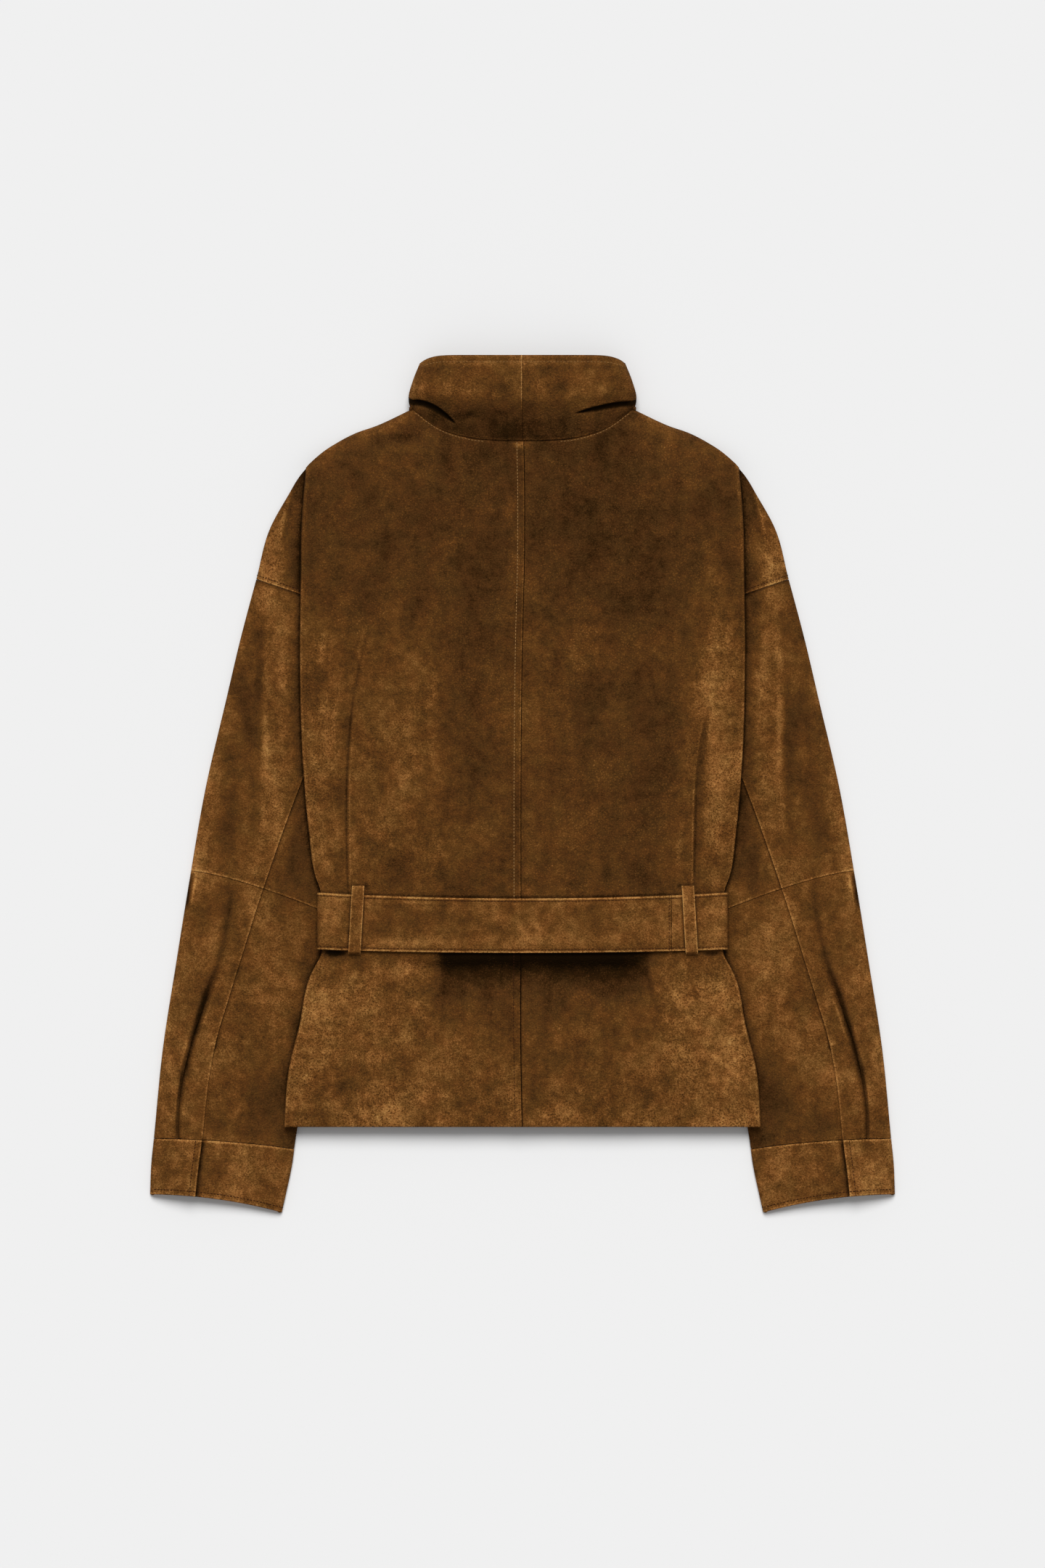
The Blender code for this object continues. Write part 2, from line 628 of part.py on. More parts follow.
COLLAR_CORNER_Y = 376.4  # where the top edge turns down at the side
COLLAR_LEVELS = np.array([0.0, 0.14, 0.3, 0.48, 0.66, 0.84, 1.0])[:, None]  # from the seam to the top edge
COLLAR_BACK = np.array([0.0, 0.334, 0.668, 0.82, 0.9, 0.96])  # shares of the half width
COLLAR_FRONT = np.array([0.97, 0.9, 0.72, 0.48, 0.2])


def collar_half(side, name, look):
    v = COLLAR_LEVELS
    wide = along(COLLAR_SIDE, v)
    seam_x = NECK_X * COLLAR_BACK
    seam_y = along(NECK_BACK, seam_x)
    x = np.maximum(wide * COLLAR_BACK, SEAM / 2.0)
    corner = (COLLAR_TOP_Y - COLLAR_CORNER_Y) * np.clip((COLLAR_BACK - 0.72) / 0.28, 0.0, 1.0) ** 2
    y = seam_y + SEAM + v * (COLLAR_TOP_Y - corner - seam_y - SEAM)
    flat_z = back_top(seam_x, seam_y) + along(COLLAR_HEIGHT, v)
    low_z = 6.0 * (1.0 - v) ** 2  # the front half's height at the side, down to the surface at the top edge
    middle = 0.5 * (low_z + flat_z[:, -1:])
    from_side = np.clip((wide - x) / 16.0, 0.0, 1.0)
    round_z = middle + (flat_z - middle) * np.sqrt(1.0 - (1.0 - from_side) ** 2)
    back = join_points(x, y, flat_z + ease((COLLAR_BACK - 0.5) / 0.3) * (round_z - flat_z))
    side_y = NECK_Y + v * (COLLAR_CORNER_Y - NECK_Y)
    edge = join_points(wide, side_y, 0.45 * flat_z[:, -1:] + 0.55 * low_z)

    # The hidden front half lies on the surface, the left one over the right one
    reach = np.append(COLLAR_FRONT, -FRONT_LAP / NECK_X)
    foot = along(NECK_FRONT, NECK_X * reach) + 4.0 * SEAM
    rim = COLLAR_CORNER_Y - 46.0 * np.sqrt(1.0 - reach**2)
    x = wide * reach
    x[:, -1] = -FRONT_LAP
    z = low_z * ease((np.abs(reach) - 0.55) / 0.4) + np.array([2.2, 0.2, 0.0, 0.0, 0.0, 0.0])
    if side < 0:
        z = z + (DOUBLE + 0.5) * ease((0.42 - reach) / 0.2)
    front = join_points(x, foot + v * (rim - foot), z)
    cloth(name, [np.concatenate([back, edge, front], axis=1)], side, DOUBLE, look)


# Belt: two lengths with a cross seam behind the right loop, a loop each side and a plain frame buckle


BELT_ACROSS = np.array([0.0, 0.5, 1.0])[:, None]  # shares of the belt's width, from its lower edge
BELT_SIDE_TURN = np.radians([90.0, 55.0, 22.0, -22.0, -55.0, -90.0])
BELT_GAP = 0.5  # between the back and the belt
STRAP_OVER = DOUBLE + 0.4  # height of the buckle's length where it lies over the tip
BUCKLE_LENGTH, BUCKLE_HEIGHT = 46.0, 63.0
BUCKLE_BAR, BUCKLE_PLATE = 5.0, 2.6
LONG_BACK_X = (100.0, 50.0, 0.0, -50.0, -100.0, -140.0, -165.0)
LONG_FRONT = (  # x, height of the long length under the front, to its tip beyond the buckle
    (-60.0, 0.0),
    (-36.0, 0.0),
    (-28.0, 3.4),
    (-15.0, 3.4),
    (-6.0, 0.9),
    (2.0, 0.0),
    (40.0, 0.0),
    (70.0, 0.0),
    (95.0, 0.0),
)
SHORT_BACK_X = (150.0, 165.0)
SHORT_FRONT = (  # x, height of the short length, over the tip to the buckle's bar
    (108.0, 0.0),
    (98.0, STRAP_OVER),
    (60.0, STRAP_OVER),
    (36.0, STRAP_OVER),
    (26.0, 6.4),
    (14.5, 6.4),
)
LOOP_WIDTH, LOOP_WALL = 11.0, 1.5
LOOP_ROWS = (  # y, share of the height from the back up to over the belt
    (-154.5, 0.0),
    (-152.6, 0.5),
    (-151.0, 1.0),
    (-148.5, 1.0),
    (-124.0, 1.0),
    (-99.0, 1.0),
    (-93.5, 1.0),
    (-91.5, 0.5),
    (-89.5, 0.0),
)


def belt_back_z(x):
    """Outer face of the belt across the back."""
    side = along(BODY_SIDE, BELT_MID_Y)
    return along(BACK_HEIGHT, -98.0) * (1.0 - 0.08 * (x / side) ** 2) + BELT_GAP + DOUBLE


def belt_side():
    """x and height of the outer face round one side: over the roll, under the flap, down to the surface."""
    reach = along(BODY_SIDE, BELT_MID_Y) + 1.3 + DOUBLE
    y = belt_y(reach, BELT_ACROSS)
    top = belt_back_z(reach - 9.0)
    bottom = over_arm(reach - 9.0, y)
    radius = (top - bottom) / 2.0
    middle = reach - radius
    round_x = middle + radius * np.cos(BELT_SIDE_TURN)
    round_z = bottom + radius + radius * np.sin(BELT_SIDE_TURN)
    foot = along(ARM, y, 2)
    under_x = foot + np.array([0.75, 0.5, 0.25, 0.0]) * (middle - foot)
    ramp_x = foot - np.array([0.25, 0.5, 0.75, 1.0, 1.4]) * RAMP
    flat_x = np.concatenate([under_x, ramp_x], axis=1)
    return np.concatenate([round_x, flat_x], axis=1), np.concatenate([round_z, over_arm(flat_x, y)], axis=1)


def belt_strip(name, look, side, back_x, front):
    """One length of the belt: its run across the back, its way round one side, its run under the front."""
    back_x = np.array(back_x) + 0.0 * BELT_ACROSS
    front_x, front_z = (column + 0.0 * BELT_ACROSS for column in np.array(front).T)
    side_x, side_z = belt_side()
    x = np.concatenate([back_x, side * side_x, front_x], axis=1)
    z = np.concatenate([belt_back_z(back_x), side_z, front_z], axis=1)
    straight = along(BODY_SIDE, BELT_MID_Y) + 4.0
    on_back = np.arange(x.shape[1]) < back_x.shape[1]
    y = belt_y(np.where(on_back, x, straight), BELT_ACROSS)
    cloth(name, [join_points(x, y, z)], 1, DOUBLE, look, flip=side < 0)


def belt_loop(side, name, look, top_x, bottom_x):
    """A narrow strip that carries the belt, sewn to the back above and below it."""
    y, over = (np.array(column) for column in zip(*LOOP_ROWS))
    middle = bottom_x + (top_x - bottom_x) * (y - y[0]) / (y[-1] - y[0])
    low = back_top(np.full_like(y, top_x), y) + 0.35 + LOOP_WALL
    high = belt_back_z(top_x) + 0.4 + LOOP_WALL
    x = middle[:, None] + LOOP_WIDTH * np.array([-0.5, 0.0, 0.5])
    z = low + over * (high - low)
    cloth(name, [join_points(x, y[:, None], z[:, None])], side, LOOP_WALL, look)


def plate(name, length, height, thickness, collection):
    """A flat box, centred at the origin."""
    bpy.ops.mesh.primitive_cube_add(size=1.0)
    made = bpy.context.object
    made.name = name
    made.scale = (length * MM, height * MM, thickness * MM)
    bpy.ops.object.transform_apply(location=False, rotation=False, scale=True)
    for linked in list(made.users_collection):
        linked.objects.unlink(made)
    collection.objects.link(made)
    return made


def buckle(look):
    """A plain frame cut from a plate, tilted so that the belt passes over one bar and under the other."""
    frame = plate("belt_buckle", BUCKLE_LENGTH, BUCKLE_HEIGHT, BUCKLE_PLATE, jacket)
    opening = (BUCKLE_LENGTH - 2.0 * BUCKLE_BAR, BUCKLE_HEIGHT - 2.0 * BUCKLE_BAR, 50.0)
    window = plate("buckle_window", *opening, cutters)
    window.hide_render = True
    window.display_type = "WIRE"
    cut = frame.modifiers.new("Window", "BOOLEAN")
    cut.operation = "DIFFERENCE"
    cut.object = window
    tilt = np.arcsin(2.9 / (BUCKLE_LENGTH - BUCKLE_BAR))
    lift = BUCKLE_LENGTH / 2.0 * np.sin(tilt) + BUCKLE_PLATE / 2.0 * np.cos(tilt)
    for part in (frame, window):
        part.location = (0.0, BELT_MID_Y * MM, lift * MM)
        part.rotation_euler = (0.0, -tilt, 0.0)
    frame.data.materials.append(look)


# The jacket


for leftover in list(bpy.data.objects):
    bpy.data.objects.remove(leftover, do_unlink=True)
jacket = bpy.data.collections.new("belted_suede_jacket")
cutters = bpy.data.collections.new("cutters")
bpy.context.scene.collection.children.link(jacket)
bpy.context.scene.collection.children.link(cutters)

suede_back = material("suede_back", SUEDE, 0.9)
suede_front = material("suede_front", SUEDE_DARK, 0.9)
suede_sleeve = material("suede_sleeve", SUEDE, 0.9)
suede_collar = material("suede_collar", SUEDE_DARK, 0.9)
suede_belt = material("suede_belt", SUEDE_LIGHT, 0.85)
brass = material("antique_brass", BRASS, 0.4, 1.0)

UPPER_ROWS = np.linspace(SEAM / 520.0, 1.0 - SEAM / 260.0, 7)
LOWER_ROWS = np.array([SEAM / 90.0, 0.14, 0.28, 0.42, 0.49, 0.56, 0.64, 0.71, 0.85, 1.0 - SEAM / 480.0])
for word, sign in (("left", -1), ("right", 1)):
    back_panel(sign, "back_" + word, suede_back)
    front_panel(sign, "front_" + word, suede_front)
    collar_half(sign, "collar_" + word, suede_collar)
    for part_name, levels, shares in (
        ("upper", ("armscye", "elbow"), UPPER_ROWS),
        ("lower", ("elbow", "wrist"), LOWER_ROWS),
    ):
        for arc, make in (("outer", sleeve_outer), ("inner", sleeve_inner)):
            node = "sleeve_" + part_name + "_" + arc + "_" + word
            make(sign, node, suede_sleeve, levels, shares)
    cuff(sign, "cuff_" + word, suede_sleeve)

# The long length runs round the left side to its tip, the short one round the right side to the buckle
join = SEAM / 2.0
belt_strip("belt_long", suede_belt, -1, (BELT_JOIN_X - join,) + LONG_BACK_X, LONG_FRONT)
belt_strip("belt_short", suede_belt, 1, (BELT_JOIN_X + join,) + SHORT_BACK_X, SHORT_FRONT)
belt_loop(-1, "belt_loop_left", suede_belt, 146.8, 150.5)
belt_loop(1, "belt_loop_right", suede_belt, 147.7, 151.6)
buckle(brass)
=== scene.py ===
"""The looks of a belted suede jacket that lies face down on a pale surface.

Millimetres are used throughout and turned to metres when a mesh is made. X runs across the jacket, with
the wearer's right at +X, Y runs from the hem to the collar and Z is up from the surface, as in the solids.
Shapes are worked out for the right side and mirrored by a side sign.
"""

import bmesh
import bpy
import numpy as np
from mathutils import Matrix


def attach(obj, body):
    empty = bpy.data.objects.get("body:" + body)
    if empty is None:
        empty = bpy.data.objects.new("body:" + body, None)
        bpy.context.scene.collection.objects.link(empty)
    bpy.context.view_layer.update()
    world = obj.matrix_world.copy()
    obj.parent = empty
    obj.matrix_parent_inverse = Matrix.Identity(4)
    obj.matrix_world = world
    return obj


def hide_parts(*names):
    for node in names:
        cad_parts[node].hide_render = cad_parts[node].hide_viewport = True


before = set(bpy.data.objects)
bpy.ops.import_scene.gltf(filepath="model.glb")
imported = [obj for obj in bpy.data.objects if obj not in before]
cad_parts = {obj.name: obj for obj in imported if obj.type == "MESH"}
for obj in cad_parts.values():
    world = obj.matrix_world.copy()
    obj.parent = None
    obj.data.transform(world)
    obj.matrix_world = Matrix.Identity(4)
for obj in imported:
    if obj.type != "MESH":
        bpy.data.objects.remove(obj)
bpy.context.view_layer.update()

# Back panels: pigskin suede about 1.4 mm thick, one hide each side from neck to hem, joined down the centre
# by a seam whose allowances are turned to the wearer's left and topstitched. Each panel rolls over at the
# side to the side seam, and above the armhole it tucks under itself and runs out again to the shoulder.

MM = 0.001
SIDES = ((-1, "left"), (1, "right"))  # the sign of X and the wearer's side
SHELL = 1.4  # one layer of suede
SEAM = 0.3  # space between two pieces along a seam
LAY = 0.9  # space between layers that lie on each other
DOUBLE = 2.3  # two layers turned and stitched
HEM_Y = -306.8
CROTCH_Y = 130.0  # where a sleeve's inner edge meets the body
ARMSCYE_Y = 183.1  # where the armhole seam ends at the sleeve's outer edge
TUCK_TOP_Y = 277.0
SHOULDER_TIP_X = 194.0  # where the back's last upright column ends
NECK_X, NECK_Y = 98.8, 335.4  # where the collar meets the shoulder
WAIST_HOLLOW = 5.5  # how far the back sinks below the belt
HOLLOW_LOW_Y, HOLLOW_TOP_Y, HOLLOW_X = -200.0, -154.0, 118.0  # where that hollow ends, down, up and sideways
BAND_LOW_Y, BAND_TOP_Y, BAND_FADE = -180.0, -66.0, 26.0  # where the belt lifts the fronts
BELT_ROOM = DOUBLE + 1.5  # how far it lifts them
NECK_RISE, NECK_SPREAD = 7.2, 42.0  # how high and how far round the neck seam's corner the front is lifted
RAMP = 14.0  # how far inside the sleeve the layers above it begin to rise
EDGE = 4.6  # height of a sleeve just inside its folded edges
INNER_ROUND, OUTER_ROUND = 110.0, 45.0  # how far in from its edges a sleeve reaches its full height
BAND_EDGE_Z = 2.1  # height of the shoulder cap's lower edge
CAP_ROUND = 12.0  # how far in from that edge the cap reaches the arm's height
CROWN = 0.08  # share by which the back is lower at its sides than in the middle
SHOULDER_ROUND = 48.0  # how far in from the shoulder the back reaches its full height

BODY_SIDE = (  # y, x of the side fold
    (-306.8, 213.5), (-256, 209.4), (-216, 199.8), (-168, 188.5), (-154, 180.8), (-122, 180), (-101, 180),
    (-94, 181.2), (-82, 185.5), (-44, 191), (1, 195.3), (114, 199.2), (182, 198.4), (235, 197.5),
    (281.5, 194),
)
BACK_HEIGHT = (  # y, height of the back's outer face along the middle
    (-306.8, 15.5), (-250, 18.5), (-185, 18), (-148, 19), (-98, 20), (-60, 22.5), (60, 24.5), (220, 24),
    (300, 21), (336, 20),
)
ARM = (  # y, outer edge x, inner edge x, height: cuff, sleeve and then the shoulder tuck
    (-383.5, 334.2, 215.5, 12.5), (-367.3, 333.5, 211.9, 12.5), (-341.3, 332.5, 206.4, 12.5),
    (-315.3, 329.9, 202.8, 12.5), (-237.3, 322.1, 184, 13), (-159.3, 310, 154, 14), (-81.3, 297.4, 128, 14.5),
    (-3.3, 283.7, 107, 15), (74.8, 265.5, 90, 15), (CROTCH_Y, 252.5, 84, 15), (ARMSCYE_Y, 238.4, 120, 15),
    (230.8, 225.2, 153.5, 15), (256.8, 210.8, 171.5, 15), (277, 198.4, 185.5, 15), (295.8, 181, 178, 15),
)
SHOULDER = (  # x, y of the shoulder's outline from the collar to the top of the sleeve
    (98.8, 335.4), (129.7, 321), (151.3, 313.2), (166, 305.4), (181, 295.2), (194.7, 281.9), (204.4, 268.6),
    (225.2, 230.8), (238.4, ARMSCYE_Y),
)
SHOULDER_SEAM = SHOULDER[:5]
SHOULDER_EDGE = (  # x, how far the back's edge stands above the front along the shoulder
    (98.8, 6.5), (132, 0), (158, 0), (186, 6.9), (194, 7.2),
)
NECK_BACK = (  # x, y of the collar seam across the back
    (0, 306.5), (23.7, 306.8), (50.5, 309.7), (75.9, 318.5), (98.8, 335),
)


def ease(share):
    """A soft step from 0 to 1."""
    share = np.clip(share, 0.0, 1.0)
    return share * share * (3.0 - 2.0 * share)


def swell(share):
    """The height of a rounded edge: a quarter of a sine from 0 to 1."""
    return np.sin(0.5 * np.pi * np.clip(share, 0.0, 1.0))


def bell(share):
    """A bell: e to the minus square, 1 at 0 and nearly 0 from 2 on."""
    return np.exp(-(share**2))


def along(table, at, column=1):
    """A cubic through a table's rows, with each row's slope taken from its neighbours."""
    rows = np.array(sorted(table), dtype=float)
    place, value = rows[:, 0], rows[:, column]
    slope = np.gradient(value, place)
    at = np.clip(at, place[0], place[-1])
    low = np.clip(np.searchsorted(place, at) - 1, 0, len(place) - 2)
    step = place[low + 1] - place[low]
    t = (at - place[low]) / step
    start = (1 + 2 * t) * (1 - t) ** 2 * value[low] + t * (1 - t) ** 2 * step * slope[low]
    return start + t * t * (3 - 2 * t) * value[low + 1] - t * t * (1 - t) * step * slope[low + 1]


def bowed(at, a, b, c, p, q, r):
    """The parabola that is p at a, q at b and r at c."""
    path = p * (at - b) * (at - c) / ((a - b) * (a - c)) + q * (at - a) * (at - c) / ((b - a) * (b - c))
    return path + r * (at - a) * (at - b) / ((c - a) * (c - b))


def away_from(x, y, line):
    """Distance from each point to a line of (x, y) rows."""
    nearest = np.full(np.shape(x), np.inf)
    for (ax, ay), (bx, by) in zip(line, line[1:]):
        run = np.hypot(bx - ax, by - ay)
        share = np.clip(((x - ax) * (bx - ax) + (y - ay) * (by - ay)) / run**2, 0.0, 1.0)
        gap = np.hypot(x - ax - share * (bx - ax), y - ay - share * (by - ay))
        nearest = np.minimum(nearest, gap)
    return nearest


def spaced(start, *runs):
    """Places along a line, from start through runs of (end, spacing)."""
    places = [start]
    for end, spacing in runs:
        count = max(int(round(abs(end - places[-1]) / spacing)), 1)
        places.extend(np.linspace(places[-1], end, count + 1)[1:])
    return np.array(places)


def shares(count):
    """Even shares of a way: count of them up to 1, without 0."""
    return np.linspace(0.0, 1.0, count + 1)[1:]


def soft_lines(x, y, rows):
    """Ridges or troughs: a bell across a curve through three points, fading in and out along it.

    Each row is the x and y of the three points, the half width and the height, or the change of tone.
    """
    total = np.zeros(np.broadcast(x, y).shape)
    for x0, y0, x1, y1, x2, y2, wide, height in rows:
        run, across, start, end, path = x, y, x0, x2, (x0, x1, x2, y0, y1, y2)
        if abs(y2 - y0) > abs(x2 - x0):
            run, across, start, end, path = y, x, y0, y2, (y0, y1, y2, x0, x1, x2)
        share = (run - start) / (end - start)
        fade = ease(share / 0.3) * ease((1.0 - share) / 0.3)
        total = total + height * fade * bell((across - bowed(run, *path)) / wide)
    return total


def soft_spots(x, y, rows):
    """Blots: a bell over an ellipse.

    Each row is the x and y of its middle, its half width and half length, the change of tone or height and,
    where it is turned, by how many degrees.
    """
    total = np.zeros(np.broadcast(x, y).shape)
    for at_x, at_y, wide, long, amount, *turn in rows:
        c, s = np.cos(np.radians(sum(turn))), np.sin(np.radians(sum(turn)))
        u = ((x - at_x) * c + (y - at_y) * s) / wide
        v = ((y - at_y) * c - (x - at_x) * s) / long
        total = total + amount * np.exp(-(u * u + v * v))
    return total


def uneven(x, y, size, seed):
    """Smooth unevenness of about -1 to 1: the sum of nine waves about size mm long, in seeded directions."""
    draw = np.random.default_rng(seed)
    turns, phases, stretches = draw.uniform(0, np.pi, 9), draw.uniform(0, 6.3, 9), draw.uniform(0.6, 1.7, 9)
    total = 0.0
    for turn, phase, stretch in zip(turns, phases, stretches):
        total = total + np.sin(6.283 * (x * np.cos(turn) + y * np.sin(turn)) / (size * stretch) + phase)
    return total / 3.0


def arm_top(x, y):
    """Outer face of the sleeve and of the shoulder tuck: low at both folded edges and full between."""
    inner = swell((x - along(ARM, y, 2)) / INNER_ROUND)
    outer = swell((along(ARM, y, 1) - x) / OUTER_ROUND)
    return EDGE + (along(ARM, y, 3) - EDGE) * inner * outer


def cap_top(x, y):
    """Outer face of the shoulder cap: the arm's, coming down along the shoulder to meet the front."""
    edge = BAND_EDGE_Z + SHELL + 0.1
    return edge + (arm_top(x, y) - edge) * ease((along(ARM, y, 1) - x) / CAP_ROUND)


def belt_band(y):
    """1 where the belt crosses the body, 0 away from it."""
    return ease((y - BAND_LOW_Y) / BAND_FADE) * ease((BAND_TOP_Y - y) / BAND_FADE)


def over_arm(x, y):
    """Lowest height clear of the sleeve: on the surface inside its inner edge, above its top beyond."""
    ramp = ease((x - along(ARM, y, 2) + RAMP) / (RAMP - 1.5))
    return ramp * (arm_top(x, y) + LAY)


def front_low(x, y):
    """Outer, lower face of the fronts: on the surface, raised over the sleeve, belt and collar seam."""
    under_flap = np.where(y < CROTCH_Y + 0.1, over_arm(x, y), 0.0)
    belt = belt_band(y) * BELT_ROOM
    at_neck = NECK_RISE * ease(1.0 - np.hypot(x - NECK_X, y - NECK_Y) / NECK_SPREAD)
    seam_rise = (along(SHOULDER_EDGE, x) + 0.8) * ease((SHOULDER_TIP_X - 2.0 - x) / 4.0)
    at_shoulder = seam_rise * ease(1.0 - away_from(x, y, SHOULDER_SEAM) / 8.0)
    return under_flap + belt + np.maximum(at_neck, at_shoulder)


def back_top(x, y):
    """Outer face of the back: flat in the middle, rounded to the shoulder, hollowed below the belt."""
    full = along(BACK_HEIGHT, y) * (1.0 - CROWN * (x / along(BODY_SIDE, y)) ** 2)
    hollow = ease((y - HOLLOW_LOW_Y) / 36.0) * ease((HOLLOW_TOP_Y - y) / 12.0)
    full = full - WAIST_HOLLOW * hollow * ease((HOLLOW_X - np.abs(x)) / 30.0)
    edge = BAND_EDGE_Z + SHELL + along(SHOULDER_EDGE, x)
    outline = SHOULDER_SEAM + ((SHOULDER_TIP_X, 285.0),)
    inside = np.clip(away_from(x, y, outline) / SHOULDER_ROUND, 0.0, 1.0)
    return edge + (full - edge) * np.sqrt(1.0 - (1.0 - inside) ** 2)


def grid(x, y, z, tone=0.5, pale=0.0):
    """Stacks a sheet's points with its tone, 0 dark to 1 light, painted light and shade included, and how far
    an edge is worn pale.
    """
    return np.stack(np.broadcast_arrays(x, y, z, tone, pale), axis=-1).astype(float)


def from_edge(points, axis, last=False):
    """Distance over a sheet from its first or last row (axis 0) or column (axis 1)."""
    steps = np.linalg.norm(np.diff(points[..., :3], axis=axis), axis=-1)
    reach = np.concatenate([np.zeros_like(steps.take([0], axis)), np.cumsum(steps, axis=axis)], axis=axis)
    return reach.take([-1], axis) - reach if last else reach


def placed(name, data):
    """Puts a new object in the scene."""
    made = bpy.data.objects.new(name, data)
    bpy.context.scene.collection.objects.link(made)
    return made


def cloth(name, node, grids, side, wall, look, flip=False):
    """One piece of cloth: sheets of points on its outer face, joined where they meet, with a wall inside.

    Each sheet's rows go up and its columns go out. A left piece is mirrored, which turns its faces round.
    """
    rows, faces, first = [], [], 0
    for sheet in grids:
        high, wide, _ = sheet.shape
        number = first + np.arange(high * wide).reshape(high, wide)
        quads = np.stack([number[:-1, :-1], number[:-1, 1:], number[1:, 1:], number[1:, :-1]], axis=-1)
        quads = quads.reshape(-1, 4)
        faces.append(quads[:, ::-1] if flip != (side < 0) else quads)
        rows.append(sheet.reshape(-1, 5))
        first += high * wide
    rows = np.concatenate(rows)
    mesh = bpy.data.meshes.new(name)
    mesh.from_pydata(rows[:, :3] * (side * MM, MM, MM), [], np.concatenate(faces))
    for column, layer in ((3, "tone"), (4, "pale")):
        made = mesh.attributes.new(layer, "FLOAT", "POINT")
        made.data.foreach_set("value", rows[:, column].astype(np.float32))
    shaped = bmesh.new()
    shaped.from_mesh(mesh)
    bmesh.ops.remove_doubles(shaped, verts=shaped.verts, dist=0.03 * MM)
    shaped.to_mesh(mesh)
    shaped.free()
    mesh.shade_smooth()
    mesh.materials.append(look)
    piece = placed(name, mesh)
    shell = piece.modifiers.new("Wall", "SOLIDIFY")
    shell.thickness = wall * MM
    shell.offset = -1.0
    shell.use_even_offset = False
    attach(piece, "root")
    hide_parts(node)
    return piece


def rim(sheet, axis, last=False, dip=0.5, wide=0.9, worn=0.0):
    """Turns a sheet's edge down by dip mm over wide mm, never below the surface, and wears it pale."""
    reach = from_edge(sheet, axis, last)
    sheet[..., 2] = np.maximum(sheet[..., 2] - dip * (1.0 - ease(reach / wide)), 0.0)
    sheet[..., 4] += worn * bell((reach - wide) / wide)


def inset_line(sheet, inset):
    """Points and upward normals of a line that runs inset mm over a sheet from its first column."""
    points, reach = sheet[..., :3], from_edge(sheet, 1)
    row = np.arange(len(points))
    after = np.clip((reach < inset).sum(axis=1), 1, points.shape[1] - 1)
    share = (inset - reach[row, after - 1]) / (reach[row, after] - reach[row, after - 1] + 1e-9)
    across = points[row, after] - points[row, after - 1]
    line = points[row, after - 1] + np.clip(share, 0.0, 1.0)[:, None] * across
    normals = np.cross(across, np.gradient(line, axis=0))
    normals *= np.sign(normals[:, 2:]) / (np.linalg.norm(normals, axis=1, keepdims=True) + 1e-9)
    return line, normals


STITCH_LONG, STITCH_PITCH = 2.3, 3.0  # length of a stitch, and from one to the next
STITCH_RINGS = ((-0.75, 0.75), (0.0, 1.0), (0.75, 0.75))  # share of half its length, share of its thickness
STITCH_ROUND = ((-0.95, -0.3), (-0.59, 0.8), (0.0, 1.0), (0.59, 0.8), (0.95, -0.3))  # its sides: across, up


def read_at(at, reach, rows):
    """A line's rows read at other distances along it."""
    return np.stack([np.interp(at, reach, column) for column in rows.T], axis=-1)


def unit(vectors):
    """Vectors brought to length 1."""
    return vectors / np.linalg.norm(vectors, axis=1, keepdims=True)


def stitches(name, lines, side, look, thick, sunk=0.0):
    """Rows of thread, joined into one mesh: each stitch is a spindle of three rings and two tips.

    Each line is its points and the normals there. The stitches lie at even distances along it.
    """
    rings = [(place, size * out, size * up) for place, size in STITCH_RINGS for out, up in STITCH_ROUND]
    shape = np.array([(-1.0, 0.0, 0.0), *rings, (1.0, 0.0, 0.0)])
    shape = shape * (STITCH_LONG / 2.0, thick / 2.0, thick / 2.0)
    turn = [(i, (i + 1) % 5) for i in range(5)]
    around = [(0, 1 + b, 1 + a) for a, b in turn] + [(16, 11 + a, 11 + b) for a, b in turn]
    around += [(ring + a, ring + b, ring + 5 + b, ring + 5 + a) for ring in (1, 6) for a, b in turn]
    points, faces, first = [], [], 0
    for line, normal in lines:
        reach = np.concatenate([[0.0], np.cumsum(np.linalg.norm(np.diff(line, axis=0), axis=1))])
        at = np.arange(STITCH_PITCH / 2.0, reach[-1], STITCH_PITCH)
        run = unit(read_at(at + 0.6, reach, line) - read_at(at - 0.6, reach, line))
        out = unit(np.cross(read_at(at, reach, normal), run))
        up = np.cross(run, out)
        middle = read_at(at, reach, line) - sunk * up
        points.append(middle[:, None, :] + shape @ np.stack([run, out, up], axis=1))
        starts = first + len(shape) * np.arange(len(at))
        faces.extend([tuple(start + i for i in face) for start in starts for face in around])
        first += len(shape) * len(at)
    mesh = bpy.data.meshes.new(name)
    mesh.from_pydata(np.concatenate(points).reshape(-1, 3) * (side * MM, MM, MM), [], faces)
    mesh.shade_smooth()
    mesh.materials.append(look)
    if side < 0:
        mesh.flip_normals()
    row = placed(name, mesh)
    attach(row, "root")
    return row


def linear(colour):
    """An sRGB hex colour as linear red, green, blue and alpha."""
    parts = [int(colour[i : i + 2], 16) / 255.0 for i in (1, 3, 5)]
    return (*[p / 12.92 if p <= 0.04045 else ((p + 0.055) / 1.055) ** 2.4 for p in parts], 1.0)


def scale_of(size):
    """The scale of a pattern whose grains are size mm across."""
    return 1.0 / (size * MM)


def emptied(owner):
    """The node tree of a material or of the world, with nothing in it."""
    owner.use_nodes = True
    owner.node_tree.nodes.clear()
    return owner.node_tree


